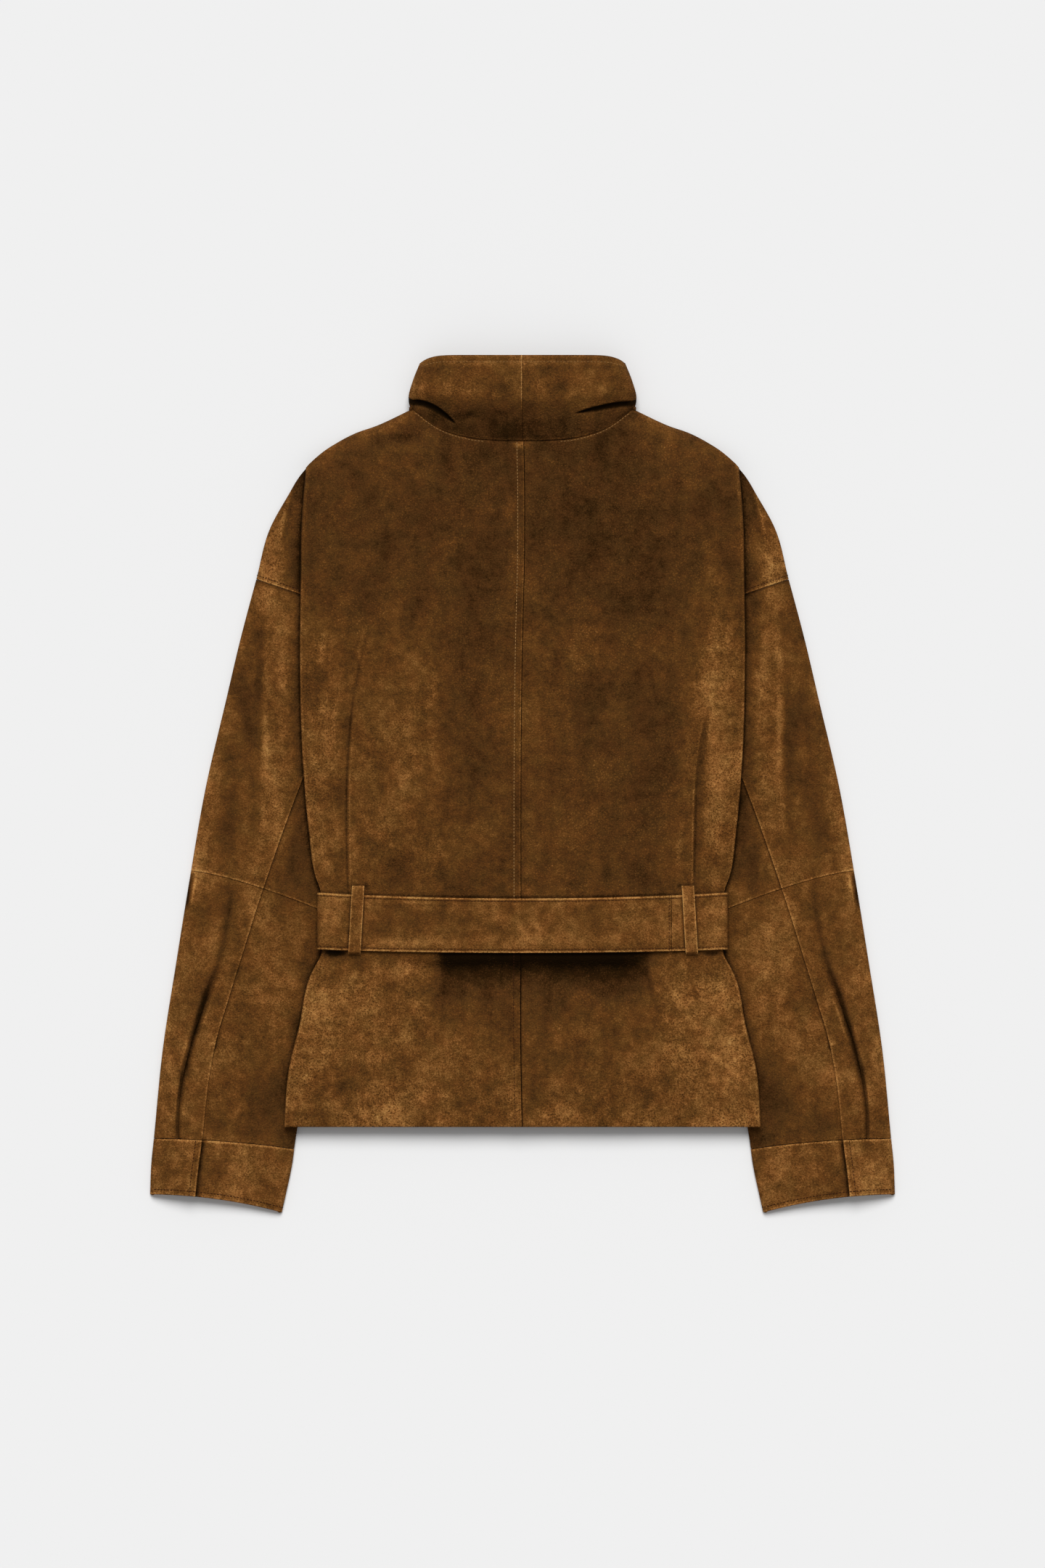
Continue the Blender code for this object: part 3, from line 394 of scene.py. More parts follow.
def add(tree, kind, output, *inputs, **settings):
    """Adds a shader node and returns it with the name of the output that is read.

    Its inputs are in order or named, with _ for a space: each is a value or another added node. What isn't
    an input is a property.
    """
    node = tree.nodes.new("ShaderNode" + kind)
    for key, value in [*settings.items(), *enumerate(inputs)]:
        if key in settings and key in node.bl_rna.properties:
            setattr(node, key, value)
            continue
        socket = node.inputs[key.replace("_", " ") if key in settings else key]
        if isinstance(value, tuple) and isinstance(value[0], bpy.types.Node):
            tree.links.new(value[0].outputs[value[1]], socket)
        else:
            socket.default_value = value
    return node, output


SUEDE_RAMP = (  # tone, colour
    (0, "#160c02"), (0.2, "#2c1a08"), (0.4, "#4b3017"), (0.5, "#583819"), (0.6, "#66421e"), (0.7, "#79512a"),
    (0.85, "#98693a"), (1, "#b1844f"),
)
SUEDE_TINT = ((1.07, 0.97, 0.84), (0.98, 0.99, 0.86))  # what the dye's clouds multiply the colour by


def suede(slot, pores=1.0):
    """Pigskin suede: the mesh's tone, which carries painted light and shade as well, with cloudy patches, a
    nap and pores, read through one colour ramp.

    The pores, 2 mm apart, are dark pits where the nap is light and worn, and pale specks where it is dark;
    pores is how strongly they show. The brushed nap scatters light, so nothing gleams. It and its fibres are
    too fine to show and are drawn coarser, 1.6 and 0.7 mm across.
    """
    made = bpy.data.materials.new(slot)
    tree = emptied(made)
    at = add(tree, "TexCoord", "Object")
    tone = add(tree, "Attribute", "Fac", attribute_name="tone")
    worn = add(tree, "Attribute", "Fac", attribute_name="pale")
    cloud = add(tree, "TexNoise", "Fac", at, Scale=scale_of(38.46), Detail=7.0, Roughness=0.62,
                Distortion=0.25)
    patch = add(tree, "TexNoise", "Fac", at, Scale=scale_of(8.333), Detail=4.0, Roughness=0.6,
                Distortion=0.2)
    nap = add(tree, "TexNoise", "Fac", at, Scale=scale_of(1.613), Detail=2.0, Roughness=0.6)
    fibre = add(tree, "TexNoise", "Fac", at, Scale=scale_of(0.6667), Detail=1.0)
    cells = add(tree, "TexVoronoi", "Distance", at, feature="F1", Scale=scale_of(2.0), Randomness=0.85)
    brushed = add(tree, "Mapping", "Vector", at, Scale=(1.0, 0.35, 1.0))
    streak = add(tree, "TexNoise", "Fac", brushed, Scale=scale_of(20.83), Detail=4.0, Roughness=0.6)
    # Each range reads a value between two levels as a share between two others
    pit = add(tree, "MapRange", "Result", cells, 0.18, 0.48, 1.0, 0.0)
    sign = add(tree, "MapRange", "Result", tone, 0.42, 0.66, 0.2 * pores, -0.32 * pores)
    where = add(tree, "MapRange", "Result", cloud, 0.38, 0.6, 0.25, 1.0)
    lively = add(tree, "MapRange", "Result", tone, 0.38, 0.62, 0.65, 0.85 + 0.3 * pores)
    total = 0.0
    for source, amount in ((cloud, 0.28), (streak, 0.14), (patch, 0.22), (nap, 0.21), (fibre, 0.2)):
        part = add(tree, "Math", "Value", source, 2.5 * amount, -1.25 * amount, operation="MULTIPLY_ADD")
        total = add(tree, "Math", "Value", part, total, operation="ADD")
    total = add(tree, "Math", "Value", total, lively, tone, operation="MULTIPLY_ADD")
    pore = add(tree, "Math", "Value", pit, sign, operation="MULTIPLY")
    total = add(tree, "Math", "Value", pore, where, total, operation="MULTIPLY_ADD")
    chafe = add(tree, "Math", "Value", worn, nap, operation="MULTIPLY")
    total = add(tree, "Math", "Value", chafe, 0.7, total, operation="MULTIPLY_ADD")
    ramp = add(tree, "ValToRGB", "Color", total)
    stops = ramp[0].color_ramp.elements
    for place, _ in SUEDE_RAMP[1:-1]:
        stops.new(place)
    for stop, (_, colour) in zip(stops, SUEDE_RAMP):
        stop.color = linear(colour)
    hue = add(tree, "TexNoise", "Fac", at, Scale=scale_of(18.18), Detail=3.0, Roughness=0.6)
    tint = add(tree, "ValToRGB", "Color", hue)
    for stop, place, shade in zip(tint[0].color_ramp.elements, (0.35, 0.65), SUEDE_TINT):
        stop.position = place
        stop.color = (*shade, 1.0)
    dyed = add(tree, "VectorMath", "Vector", ramp, tint, operation="MULTIPLY")
    rise = add(tree, "Math", "Value", nap, 0.7, patch, operation="MULTIPLY_ADD")
    rise = add(tree, "Math", "Value", pit, -0.2, rise, operation="MULTIPLY_ADD")
    bump = add(tree, "Bump", "Normal", Height=rise, Strength=0.7, Distance=SHELL * MM)
    shader = add(tree, "BsdfPrincipled", "BSDF", dyed, Normal=bump, Roughness=0.95, Specular_IOR_Level=0.03,
                 Sheen_Weight=0.03, Sheen_Roughness=0.5, Sheen_Tint=linear("#b0804a"))
    add(tree, "OutputMaterial", "", shader)
    return made


def thread(name, colour):
    """Waxed polyester thread: one colour with a faint twist every millimetre."""
    made = bpy.data.materials.new(name)
    tree = emptied(made)
    at = add(tree, "TexCoord", "Object")
    twist = add(tree, "TexNoise", "Fac", at, Scale=scale_of(1.111), Detail=2.0)
    tint = add(tree, "ValToRGB", "Color", twist)
    for stop, gain in zip(tint[0].color_ramp.elements, (0.5, 1.4)):
        stop.color = (*(gain * np.array(linear(colour)[:3])), 1.0)
    shader = add(tree, "BsdfPrincipled", "BSDF", tint, Roughness=0.8, Specular_IOR_Level=0.08)
    add(tree, "OutputMaterial", "", shader)
    return made


# Its dip just below the belt is painted shade under the belt
BACK_TONE = (  # y, tone down the middle of the back
    (-306.8, 0.62), (-250, 0.6), (-200, 0.56), (-165, 0.42), (-100, 0.49), (-60, 0.5), (-15, 0.5),
    (40, 0.505), (100, 0.485), (160, 0.43), (240, 0.4), (300, 0.4), (340, 0.38),
)
BACK_FOLDS = (  # x, y of three points, half width, height; the wearer's right is at +x
    (-137, 148, -144, 115, -151.5, 78, 1.8, -0.5), (-186, 6, -178, -24, -168, -58, 3, -0.7),
    (-188, -34, -180, -56, -172, -90, 2.6, 0.6), (186, -20, 178, -52, 168, -92, 3, -0.7),
    (-60, -10, -90, -40, -104, -80, 5, -0.5), (40, -50, 62, -66, 96, -92, 4, -0.5),
    (-139.4, 140, -152, 50, -154.4, -95, 3.4, -0.9), (-147, 96, -154.5, 30, -156.3, -30, 0.9, -0.4),
    (-155.9, 10, -156.3, -55, -154.2, -125, 0.9, -0.6), (-160, 130, -175, 20, -176, -96, 9, 1.3),
    (170, 80, 158.6, 20, 155.4, -96, 3.4, -1.5), (167.6, 72, 158, 24, 154.6, -24, 1.4, -0.45),
    (155.4, 10, 154, -40, 153, -108, 1, -0.8), (165, 72, 155.6, 24, 152.8, -24, 1.5, 0.35),
    (153.4, 10, 152.2, -40, 151, -108, 1.2, 0.5), (184, 120, 176, 10, 172, -92, 9, 1.2),
    (170, 214, 172, 160, 171, 104, 7, 0.6), (-96, 328, -118, 320, -148, 307, 6, 1.1),
    (-90, 312, -118, 309, -148, 302, 5, -0.9), (100, 328, 122, 319, 150, 306, 6, 0.8),
    (-72, -140, -74, -200, -71, -250, 2.6, -1), (-18, -145, -17, -170, -18, -192, 2, -0.5),
    (34, -150, 26, -200, 10, -262, 6, -0.7), (60, -150, 56, -200, 42, -250, 5, 0.6),
    (110, -145, 122, -190, 136, -230, 4, 0.9), (150, -158, 152, -180, 159, -204, 4, -0.6),
    (112, -152, 134, -205, 158, -270, 11, 0.7), (-118, -152, -132, -205, -150, -268, 11, 0.7),
    (-146, -50, -143, -70, -145, -92, 2.5, -0.6),
)
# Painted light and shade along the creases and at the belt's edges, with a few light streaks in the nap
BACK_STREAKS_AND_SHADING = (  # the same for the tone: how much lighter or darker
    (-180, -149.6, -169, -150.6, -156, -151.4, 1.7, -0.45), (180, -253, 189, -257, 197, -266, 1.4, 0.12),
    (178, -257, 187, -261, 195, -270, 1.8, -0.08), (122, -160, 138, -190, 168, -226, 6, 0.08),
    (110, -182, 117, -210, 120, -246, 5, -0.05), (152, -178, 154, -186, 156, -194, 3, -0.1),
    (118, -180, 124, -194, 126, -208, 3, -0.08), (52, -248, 57, -236, 65, -222, 2.6, 0.06),
    (111, -264, 111, -278, 109, -294, 2.2, -0.08), (152, 70, 147, 20, 144, -40, 4, 0.07),
    (143, -20, 141, -50, 137, -84, 2.2, 0.1), (170, 90, 167, 50, 163, 20, 1.6, 0.1),
    (134, 120, 130, 50, 128, -40, 7, -0.06), (176, -40, 168, -62, 160, -90, 1.4, -0.08),
    (184, -50, 178, -68, 168, -92, 1.6, 0.05), (-186, 6, -178, -24, -168, -58, 2, -0.08),
    (-188, -34, -180, -56, -172, -90, 2, 0.06), (186, -20, 178, -52, 168, -92, 2, -0.08),
    (-152, -80, -153, -86, -152, -95, 0.8, -0.2), (-260, -91.1, 0, -101.3, 260, -91.1, 1.3, -0.25),
    (-141.5, 140, -155, 50, -158, -96, 5, -0.07), (-146.5, 108, -155.4, 34, -157.2, -30, 1.1, -0.17),
    (-136.5, 146, -143.5, 115, -150.5, 82, 1.3, -0.16), (-139.5, 146, -146.5, 115, -153.5, 82, 1.9, 0.1),
    (-175, 138, -180, 117, -186, 96, 2.4, 0.11), (-171, 128, -172, 108, -174, 88, 1.6, 0.08),
    (-156.8, 30, -157.2, -50, -154.6, -128, 1, -0.22), (-144, 100, -152.8, 30, -154.5, -38, 1.2, 0.09),
    (-154.2, 14, -154.5, -45, -153, -112, 1.1, 0.12), (-164, 130, -177, 20, -178, -96, 11, 0.06),
    (-167.5, 80, -168.5, 54, -170, 28, 2.4, 0.12), (170, 76, 161, 20, 156.6, -96, 4, -0.16),
    (167.6, 70, 158.2, 24, 154.9, -26, 1.4, -0.13), (155.6, 12, 154.3, -40, 153.2, -110, 1.1, -0.22),
    (164.6, 70, 155.8, 24, 153.2, -26, 1, 0.16), (153.6, 12, 152.4, -40, 151.4, -110, 0.8, 0.28),
    (186, 140, 180, 10, 176, -96, 12, 0.04), (168, 220, 171, 160, 170, 100, 6, 0.1),
    (172, 76, 170, 58, 166, 38, 2, 0.09), (-94, 331, -118, 321, -150, 308, 5, 0.1),
    (-84, 312.5, -104, 311, -150, 303, 4, -0.16), (-82, 301, -106, 299, -144, 289, 4.5, 0.09),
    (98, 331, 122, 320, 152, 307, 5, 0.09), (-38, 259, -33, 251, -27, 241, 0.9, 0.14),
    (80, -36, 90, -43, 101, -34, 0.8, 0.1), (-73.6, -150, -75.2, -200, -73, -248, 1.6, 0.07),
    (-70.4, -160, -72, -205, -70, -256, 3, -0.1), (-18, -148, -17, -170, -18, -190, 1.3, -0.1),
    (31, -160, 24, -205, 10, -262, 4, -0.07), (54, -168, 50, -200, 36, -250, 3, 0.05),
    (72, -180, 66, -215, 50, -262, 3, 0.05), (112, -148, 122, -190, 137, -228, 2.2, 0.12),
    (107, -150, 117, -192, 131, -232, 3, -0.1), (150, -158, 152, -180, 160, -204, 3, -0.1),
    (183, -236, 197, -257, 206, -280, 1.4, 0.12),
)
# Mostly patches in the suede; dark ones at the belt's lower edge and the loops' tops are painted shadows
BACK_SPOTS_AND_SHADOWS = (  # middle, half width, half length, how much lighter or darker, and its turn if it has one
    (-190, -10, 10, 24, 0.05), (-150, -226, 42, 24, -0.05), (112, -235, 18, 14, -0.06),
    (80, -180, 30, 14, -0.04), (-55, 195, 18, 26, 0.05), (10, 100, 12, 50, 0.04), (40, 235, 40, 30, 0.03),
    (-110, -58, 36, 16, 0.04), (-112, -170, 22, 9, 0.05), (-70, 66, 12, 20, 0.04), (-89, 278, 12, 16, 0.04),
    (-176, -164, 9, 7, 0.09), (180, -172, 12, 16, 0.05), (96, 84, 15, 15, 0.04), (106, 322, 12, 8, 0.06),
    (-41, 209, 13, 15, 0.05), (12, 278, 12, 14, 0.04), (-131, 304, 20, 8, 0.06), (101, 320, 12, 8, 0.06),
    (-136, 161, 20, 26, -0.05), (165, 288, 12, 12, -0.05), (154, 198, 14, 22, -0.05),
    (178, 135, 13, 25, 0.05), (22, 135, 15, 25, 0.05), (177, 20, 9, 16, -0.06), (176, 82, 9, 10, -0.05),
    (85, 56, 17, 20, 0.05), (-157, 50, 12, 28, -0.04), (91, 8, 11, 11, -0.05), (-178, 3, 12, 16, 0.05),
    (-120, -7, 15, 18, -0.05), (-27, -14, 18, 30, 0.05), (-67, -86, 10, 11, 0.06), (101, -70, 11, 13, -0.06),
    (-78, -229, 11, 22, -0.07), (-102, -170, 24, 10, 0.05), (-178, -213, 18, 10, 0.06),
    (70, -202, 18, 22, -0.04), (-36, -281, 20, 11, 0.05), (84, -288, 7, 8, -0.07), (13, -276, 5, 7, -0.06),
    (-122, 70, 22, 22, -0.03), (-150, 314, 16, 8, 0.06, 25), (-150, 152, 16, 16, -0.08),
    (-185, 205, 10, 24, -0.06), (-120, 200, 40, 30, -0.04), (-178, 120, 12, 16, 0.08), (-82, 66, 8, 24, 0.06),
    (-100, 2, 22, 14, -0.04), (-40, -72, 46, 22, 0.06), (-180, -190, 14, 50, 0.06), (-178, -162, 8, 8, 0.12),
    (-78, -284, 22, 14, 0.06), (180, -274, 22, 16, 0.08), (-197, 60, 5, 90, 0.06), (197, 20, 5, 90, 0.06),
    (60, 60, 20, 16, -0.03), (-150, 60, 20, 20, -0.03), (-112, -165, 20, 10, 0.08), (-36, -208, 34, 24, -0.1),
    (84, -222, 26, 24, -0.06), (168, -252, 14, 26, 0.08), (-200, -286, 8, 20, 0.08), (60, 128, 34, 40, 0.03),
    (4, 150, 14, 60, 0.05), (2, 276, 12, 14, 0.06), (158, 198, 10, 26, -0.09), (138, 92, 10, 22, -0.08),
    (122, 0, 12, 30, -0.06), (172, -20, 10, 26, -0.06), (110, 330, 12, 9, 0.12), (-110, 330, 12, 9, 0.06),
    (-130, 10, 66, 130, 0.04), (-186, 80, 14, 100, 0.04), (182, 60, 26, 130, 0.1), (168, 60, 9, 110, 0.08),
    (80, 235, 90, 60, -0.05), (-40, 270, 60, 50, -0.03), (-40, 100, 20, 50, -0.05), (80, -10, 46, 80, -0.04),
    (-150, -200, 70, 80, 0.06), (-100, -165, 22, 10, 0.1), (165, -235, 46, 90, 0.09),
    (130, -166, 18, 12, 0.08), (35, -230, 90, 50, -0.07), (-90, -290, 16, 10, 0.08),
    (-110, 20, 34, 110, 0.06), (-48, 35, 19, 105, -0.08), (-12, 225, 13, 75, 0.06), (-184, 60, 9, 100, 0.04),
    (174, 20, 20, 130, 0.14), (114, 5, 24, 75, -0.07), (133, 20, 11, 62, -0.09), (106, 168, 30, 36, -0.07),
    (76, 70, 28, 60, -0.04), (-110, 240, 60, 40, -0.02), (-150, 304, 48, 8, 0.09, 25),
    (150, 304, 48, 8, 0.1, -25), (-81, 75, 5, 30, 0.09), (-74, -58, 4, 15, 0.08, 20),
    (-44, -40, 5, 19, 0.07, -12), (-60, -21, 12, 7, 0.06), (-112, -85, 10, 9, -0.15), (-66, -86, 12, 8, -0.1),
    (-38, -78, 10, 11, -0.08), (-90, -28, 3.5, 26, -0.07), (58, 82, 14, 16, -0.08), (76, 36, 12, 16, -0.07),
    (106, -85, 11, 11, -0.16), (78, -81, 9, 8, -0.09), (20, -74, 8, 9, -0.08), (48, -89, 9, 8, -0.08),
    (80, 60, 5, 8, 0.08), (140, -62, 4, 19, 0.13), (64, -70, 5, 16, 0.07, -10), (10, -25, 7, 13, 0.06),
    (-40, 236, 10, 13, 0.07, 20), (-58, 215, 10, 7, 0.06), (-150, 203, 16, 9, 0.05),
    (-105, -163, 18, 8, 0.07, 10), (-140, -178, 52, 26, 0.12), (-186, -196, 12, 26, 0.08, -12),
    (-188, -235, 13, 50, 0.06, -10), (152, -178, 32, 34, 0.16), (184, -205, 10, 40, 0.07, 12),
    (186, -240, 15, 56, 0.06, 10), (-60, -240, 14, 12, 0.06), (-120, -189, 10, 9, -0.09),
    (-97, -257, 9, 7, -0.09), (-54, -285, 13, 9, -0.1), (-164, -268, 22, 15, -0.1),
    (-182, -300, 14, 8, -0.11), (-130, -294, 28, 10, 0.09), (62, -290, 11, 9, -0.1),
    (175, -285, 11, 8, -0.09), (9, -274, 7, 22, -0.08), (-10, -290, 7, 22, 0.05), (110, -297, 90, 10, 0.05),
    (-56, -186, 11, 20, -0.09), (30, -208, 26, 28, -0.07, 20), (80, -190, 22, 30, -0.07, 10),
    (16, -252, 38, 30, -0.04), (-4.6, 303, 5.5, 2.4, 0.55), (-168, -152.6, 9, 2.4, -0.4),
    (169, -151.6, 8, 2.2, -0.4), (-139.5, -91.5, 2.2, 3, -0.3), (-148, -90.5, 6, 1.6, -0.25),
    (140, -90.5, 2.2, 3, -0.25), (147, -90.5, 6, 1.6, -0.25), (-172, -168, 11, 8, -0.11),
    (-146, -160, 12, 5, -0.08),
)


def side_roll(y):
    """x and height of the middle of the body's side roll, and its radius, for each row."""
    edge = along(BODY_SIDE, y)
    low = np.where(y < CROTCH_Y, front_low(edge - 3.0, y), arm_top(edge - 3.0, y) + LAY)
    top = back_top(edge - 4.0, y)
    radius = np.maximum((top - low) / 2.0, 1.7)
    return edge - radius, top - radius, radius


TOPSTITCH = 6.5  # how far from the centre seam the left panel's topstitching runs
ARMSCYE_STITCH, NECK_STITCH = 3.8, 1.2  # the same for the armhole and the neck seam
NECK_STITCH_X = 32.0  # where the neck seam's stitches begin to show
VENT_Y = -120.0  # under the belt the topstitching turns from tan to dark thread
WAIST_CREASE_Y = -152.0  # the crease along the belt's lower edge
BACK_SEAM_X = (  # y, x of the centre seam, which wanders a little
    (-306.8, -0.2), (-280, -0.8), (-240, -1.5), (-120, -1.4), (60, -1), (130, 0), (200, 1.7), (260, 1.9),
    (305, 1.2),
)


def back_seam(x, side):
    """How far the back rises or dips near its centre seam, which is topstitched on the left panel."""
    edge = -0.3 * (1.0 - ease(x / 0.5))
    if side > 0:
        return edge
    past = x - TOPSTITCH
    return edge + 0.5 * ease(x / 0.8) * ease((2.8 - past) / 1.5) - 0.3 * bell(past / 0.6)


def centre_allowance(sheet):
    """The allowance of the centre seam, which lies inside the back, across the seam."""
    across = np.array([-3.0, -1.0, 1.0, 4.0, 8.0])
    return grid(sheet[:, :1, 0] + across, sheet[:, :1, 1], sheet[:, :1, 2] - SHELL - 0.4, 0.2)


def belt_shade(x, y):
    """How much darker the back is in the hollow under the belt, which ends in a crease on the left."""
    below = np.maximum(WAIST_CREASE_Y - y, 0.0) + 40.0 * ease((y + 150.0) / 8.0)
    hollow = ease((x + 81.0) / 13.0) * ease((127.0 - x + 0.1 * below) / 36.0)
    return hollow * (0.3 * bell(below / 13.0) + 0.24 * bell(below / 32.0))


def back_side_rows():
    """Y of the back's rows along the side, close together at the creases, and how many lie below the tuck."""
    tip_y = along(SHOULDER, SHOULDER_TIP_X)
    skirt = (-302.0, 1.2), (-163.0, 2.6), (-146.0, 1.0), (-104.0, 2.6), (-88.0, 1.0), (CROTCH_Y, 2.6)
    below = spaced(HEM_Y, *skirt)
    return np.hstack([below, spaced(CROTCH_Y, (CROTCH_Y + 3.2, 0.8), (tip_y, 2.4))[1:]]), len(below)


def back_sheet(side):
    """The part that shows: y from the hem to the seam above, x as even shares from the centre to the roll.

    Past its last upright column the sheet turns down through a quarter circle to the side seam.
    """
    side_y, _ = back_side_rows()
    middle, height, radius = side_roll(side_y[:, None])
    columns = spaced(0.0, (1.2, 0.3), (10.0, 0.5), (150.0, 2.6), (177.0, 0.9), (SHOULDER_TIP_X, 2.6))
    out = columns / SHOULDER_TIP_X
    x = SEAM / 2.0 + (middle - SEAM / 2.0) * out
    seam_y = np.where(x[-1] < NECK_X, along(NECK_BACK, x[-1]), along(SHOULDER, x[-1]))
    up = np.clip((side_y[:, None] - CROTCH_Y) / (side_y[-1] - CROTCH_Y), 0.0, 1.0)
    y = np.minimum(side_y[:, None], CROTCH_Y) + up * (seam_y - CROTCH_Y)
    folds = soft_lines(side * x, y, BACK_FOLDS) + 0.35 * uneven(side * x, y, 70.0, 3)
    inside = ease((along(BODY_SIDE, y) - x) / 16.0) * ease(away_from(x, y, SHOULDER_SEAM + NECK_BACK) / 14.0)
    z = back_top(x, y) + folds * inside + back_seam(x, side)
    tone = along(BACK_TONE, y) + soft_lines(side * x, y, BACK_STREAKS_AND_SHADING) + soft_spots(side * x, y, BACK_SPOTS_AND_SHADOWS)
    # A thin dark line at the centre seam; below the belt, a painted shadow beside its raised edge
    seam_line_and_shadow = 0.08 * bell(x / 0.5) + 0.3 * ease((-145.0 - y) / 5.0) * bell(x / 0.8)
    tone = tone - seam_line_and_shadow - belt_shade(side * x, y)
    x = x + side * along(BACK_SEAM_X, y) * ease(1.0 - out / 0.4)
    angle = np.radians(spaced(90.0, (8.0, 9.0)))[1:]
    roll_x, roll_z = middle + radius * np.cos(angle), height + radius * np.sin(angle)
    worn = 0.4 * bell((angle - 0.85) / 0.35)
    roll_y = side_y[:, None] + up * (along(SHOULDER, roll_x[-1:]) - side_y[-1])
    roll = grid(roll_x, roll_y, roll_z, tone[:, -1:], worn)
    seam = grid(middle + radius * np.cos(angle[-1]), side_y[:, None], height + SEAM / 2.0, 0.3)
    return np.hstack([grid(x, y, z, tone), roll, seam])


CAP_COLUMNS = 50  # evenly spaced columns of the shoulder cap
CAP_FOLDS = (
    (206, 266, 214, 238, 220, 208, 2.2, 1.1), (210, 250, 209, 230, 206, 205, 4, -0.6),
)
CAP_SPOTS = (
    (224, 216, 6, 12, 0.1, -28), (230, 204, 10, 24, 0.12, -20), (234, 190, 5, 12, 0.1, -20),
    (216, 184, 14, 8, 0.08, 20),
)
# Painted light and shade along the cap's fold, and a lighter line above the armhole
CAP_STREAKS_AND_SHADING = (
    (206, 270, 213, 242, 219, 210, 1.3, 0.22), (202, 268, 208.6, 242, 214, 210, 2.6, -0.12),
    (240, 196, 226, 195, 212, 188, 1.5, 0.08),
)


def back_tuck(first):
    """The tuck above the crotch: from the side roll in to its fold, and out again as the shoulder cap."""
    side_y, below = back_side_rows()
    side_y = side_y[below - 1 :, None]
    middle, height, radius = side_roll(side_y)
    up = (side_y - CROTCH_Y) / (side_y[-1] - CROTCH_Y)
    y = side_y + SEAM / 2.0 * (1.0 - up)
    angle = np.radians(spaced(-15.0, (-90.0, 12.0)))
    roll = grid(middle + radius * np.cos(angle), y, height + radius * np.sin(angle), 0.2)
    fold_y = CROTCH_Y + SEAM / 2.0 + up * (TUCK_TOP_Y + 1.0 - CROTCH_Y)
    fold_x = along(ARM, fold_y, 2)
    share = 0.95 * shares(15)
    under_x, under_y = middle + share * (fold_x - middle), y + share * (fold_y - y)
    under = grid(under_x, under_y, arm_top(under_x, under_y) + LAY, 0.15)
    fold_z = arm_top(fold_x, fold_y) + LAY * np.array([0.85, 0.6, 0.3])
    fold = grid(fold_x - np.array([0.3, 0.4, 0.3]), fold_y, fold_z, 0.15)
    edge_y = ARMSCYE_Y + SEAM / 2.0 + up * (TUCK_TOP_Y + 5.0 - ARMSCYE_Y)
    edge_x = along(ARM, edge_y, 1)
    share = np.hstack([0.03, np.linspace(0.1, 0.94, CAP_COLUMNS), 0.96, 0.975, 0.987, 0.995, 0.999])
    cap_x, cap_y = fold_x + share * (edge_x - fold_x), fold_y + share * (edge_y - fold_y)
    cap_z = cap_top(cap_x, cap_y) + soft_lines(cap_x, cap_y, CAP_FOLDS)
    # Painted shade: the cap darkens towards the body, with a crisp painted shadow along the body's side
    beside = np.exp(-np.maximum(cap_x - along(BODY_SIDE, cap_y), 0.0) / 1.8)
    shade = 0.26 * ease((cap_x - 197.0) / 22.0) - 0.35 * beside
    tone = 0.31 + shade + soft_lines(cap_x, cap_y, CAP_STREAKS_AND_SHADING) + soft_spots(cap_x, cap_y, CAP_SPOTS)
    cap = grid(cap_x, cap_y, cap_z, tone)
    lip = grid(edge_x, edge_y, BAND_EDGE_Z, 0.4)
    return np.hstack([first, roll, under, fold, cap, lip])


suede_back = suede("suede_back", 0.8)
thread_tan = thread("thread_tan", "#a8804f")
thread_dark = thread("thread_dark", "#3a1d0c")
for side, word in SIDES:
    sheet = back_sheet(side)
    tuck = back_tuck(sheet[back_side_rows()[1] - 1 :, -1:])
    cap = tuck[:, -CAP_COLUMNS:]
    rim(cap, 0, dip=0.2, worn=0.75)
    rim(sheet, 0, last=True, dip=0.2, worn=0.9 * ease((sheet[0, :, 0] - 28.0) / 24.0))
    rim(sheet, 1, dip=0.1, wide=0.7, worn=0.5 if side < 0 else 0.0)
    sheets = [sheet, tuck, centre_allowance(sheet)] if side < 0 else [sheet, tuck]
    panel = cloth("back_panel_" + word, "back_" + word, sheets, side, SHELL, suede_back)
    armscye = inset_line(cap.transpose(1, 0, 2), ARMSCYE_STITCH)
    top = sheet[::-1].transpose(1, 0, 2)
    top = top[(top[:, 0, 0] > NECK_STITCH_X) & (top[:, 0, 0] < NECK_X - 2.0)]
    rows = [
        stitches("armscye_stitches_" + word, [armscye], side, thread_dark, thick=0.8),
        stitches("neck_stitches_" + word, [inset_line(top, NECK_STITCH)], side, thread_tan, thick=0.45),
    ]
    if side < 0:
        above = sheet[:, 0, 1] > VENT_Y
        for name, part, look in (
            ("centre_stitches", sheet[above], thread_tan),
            ("vent_stitches", sheet[~above], thread_dark),
        ):
            rows.append(stitches(name, [inset_line(part, TOPSTITCH)], side, look, thick=0.7))

# Front panels: the same suede, hidden under the back. The right front laps over the left one at the centre.
# Each lies flat on the surface, rises over the sleeve at its side and meets the back in the side seam.

FRONT_LAP = 15.0
LAP_FOOT = 17.0  # where the left front comes down from the right one to the surface
LAP_RISE = SHELL + 0.8  # how much higher one layer lies where it laps over another
NECK_FRONT = (  # x, y of the collar seam across the hidden front
    (-20, 246), (0, 245), (30, 250), (60, 270), (85, 302), (98.8, 335),
)
BELT_LIFT = (  # x, extra height of the fronts over the buckle and the doubled belt
    (-52, 0), (-32, 5.6), (30, 5.6), (50, 2.6), (104, 2.6), (124, 0),
)
FRONT_FOLDS = (  # x, y of three points, half width, how far the front is dented upwards
    (150, -70, 110, -40, 60, 0, 6, 1.2), (140, -20, 110, 30, 90, 100, 7, 1),
    (70, -210, 62, -240, 60, -290, 6, 1.2), (120, -190, 130, -230, 142, -290, 7, 1),
    (60, 230, 90, 180, 110, 120, 7, 1.1), (30, 180, 50, 120, 50, 40, 8, 0.9),
)


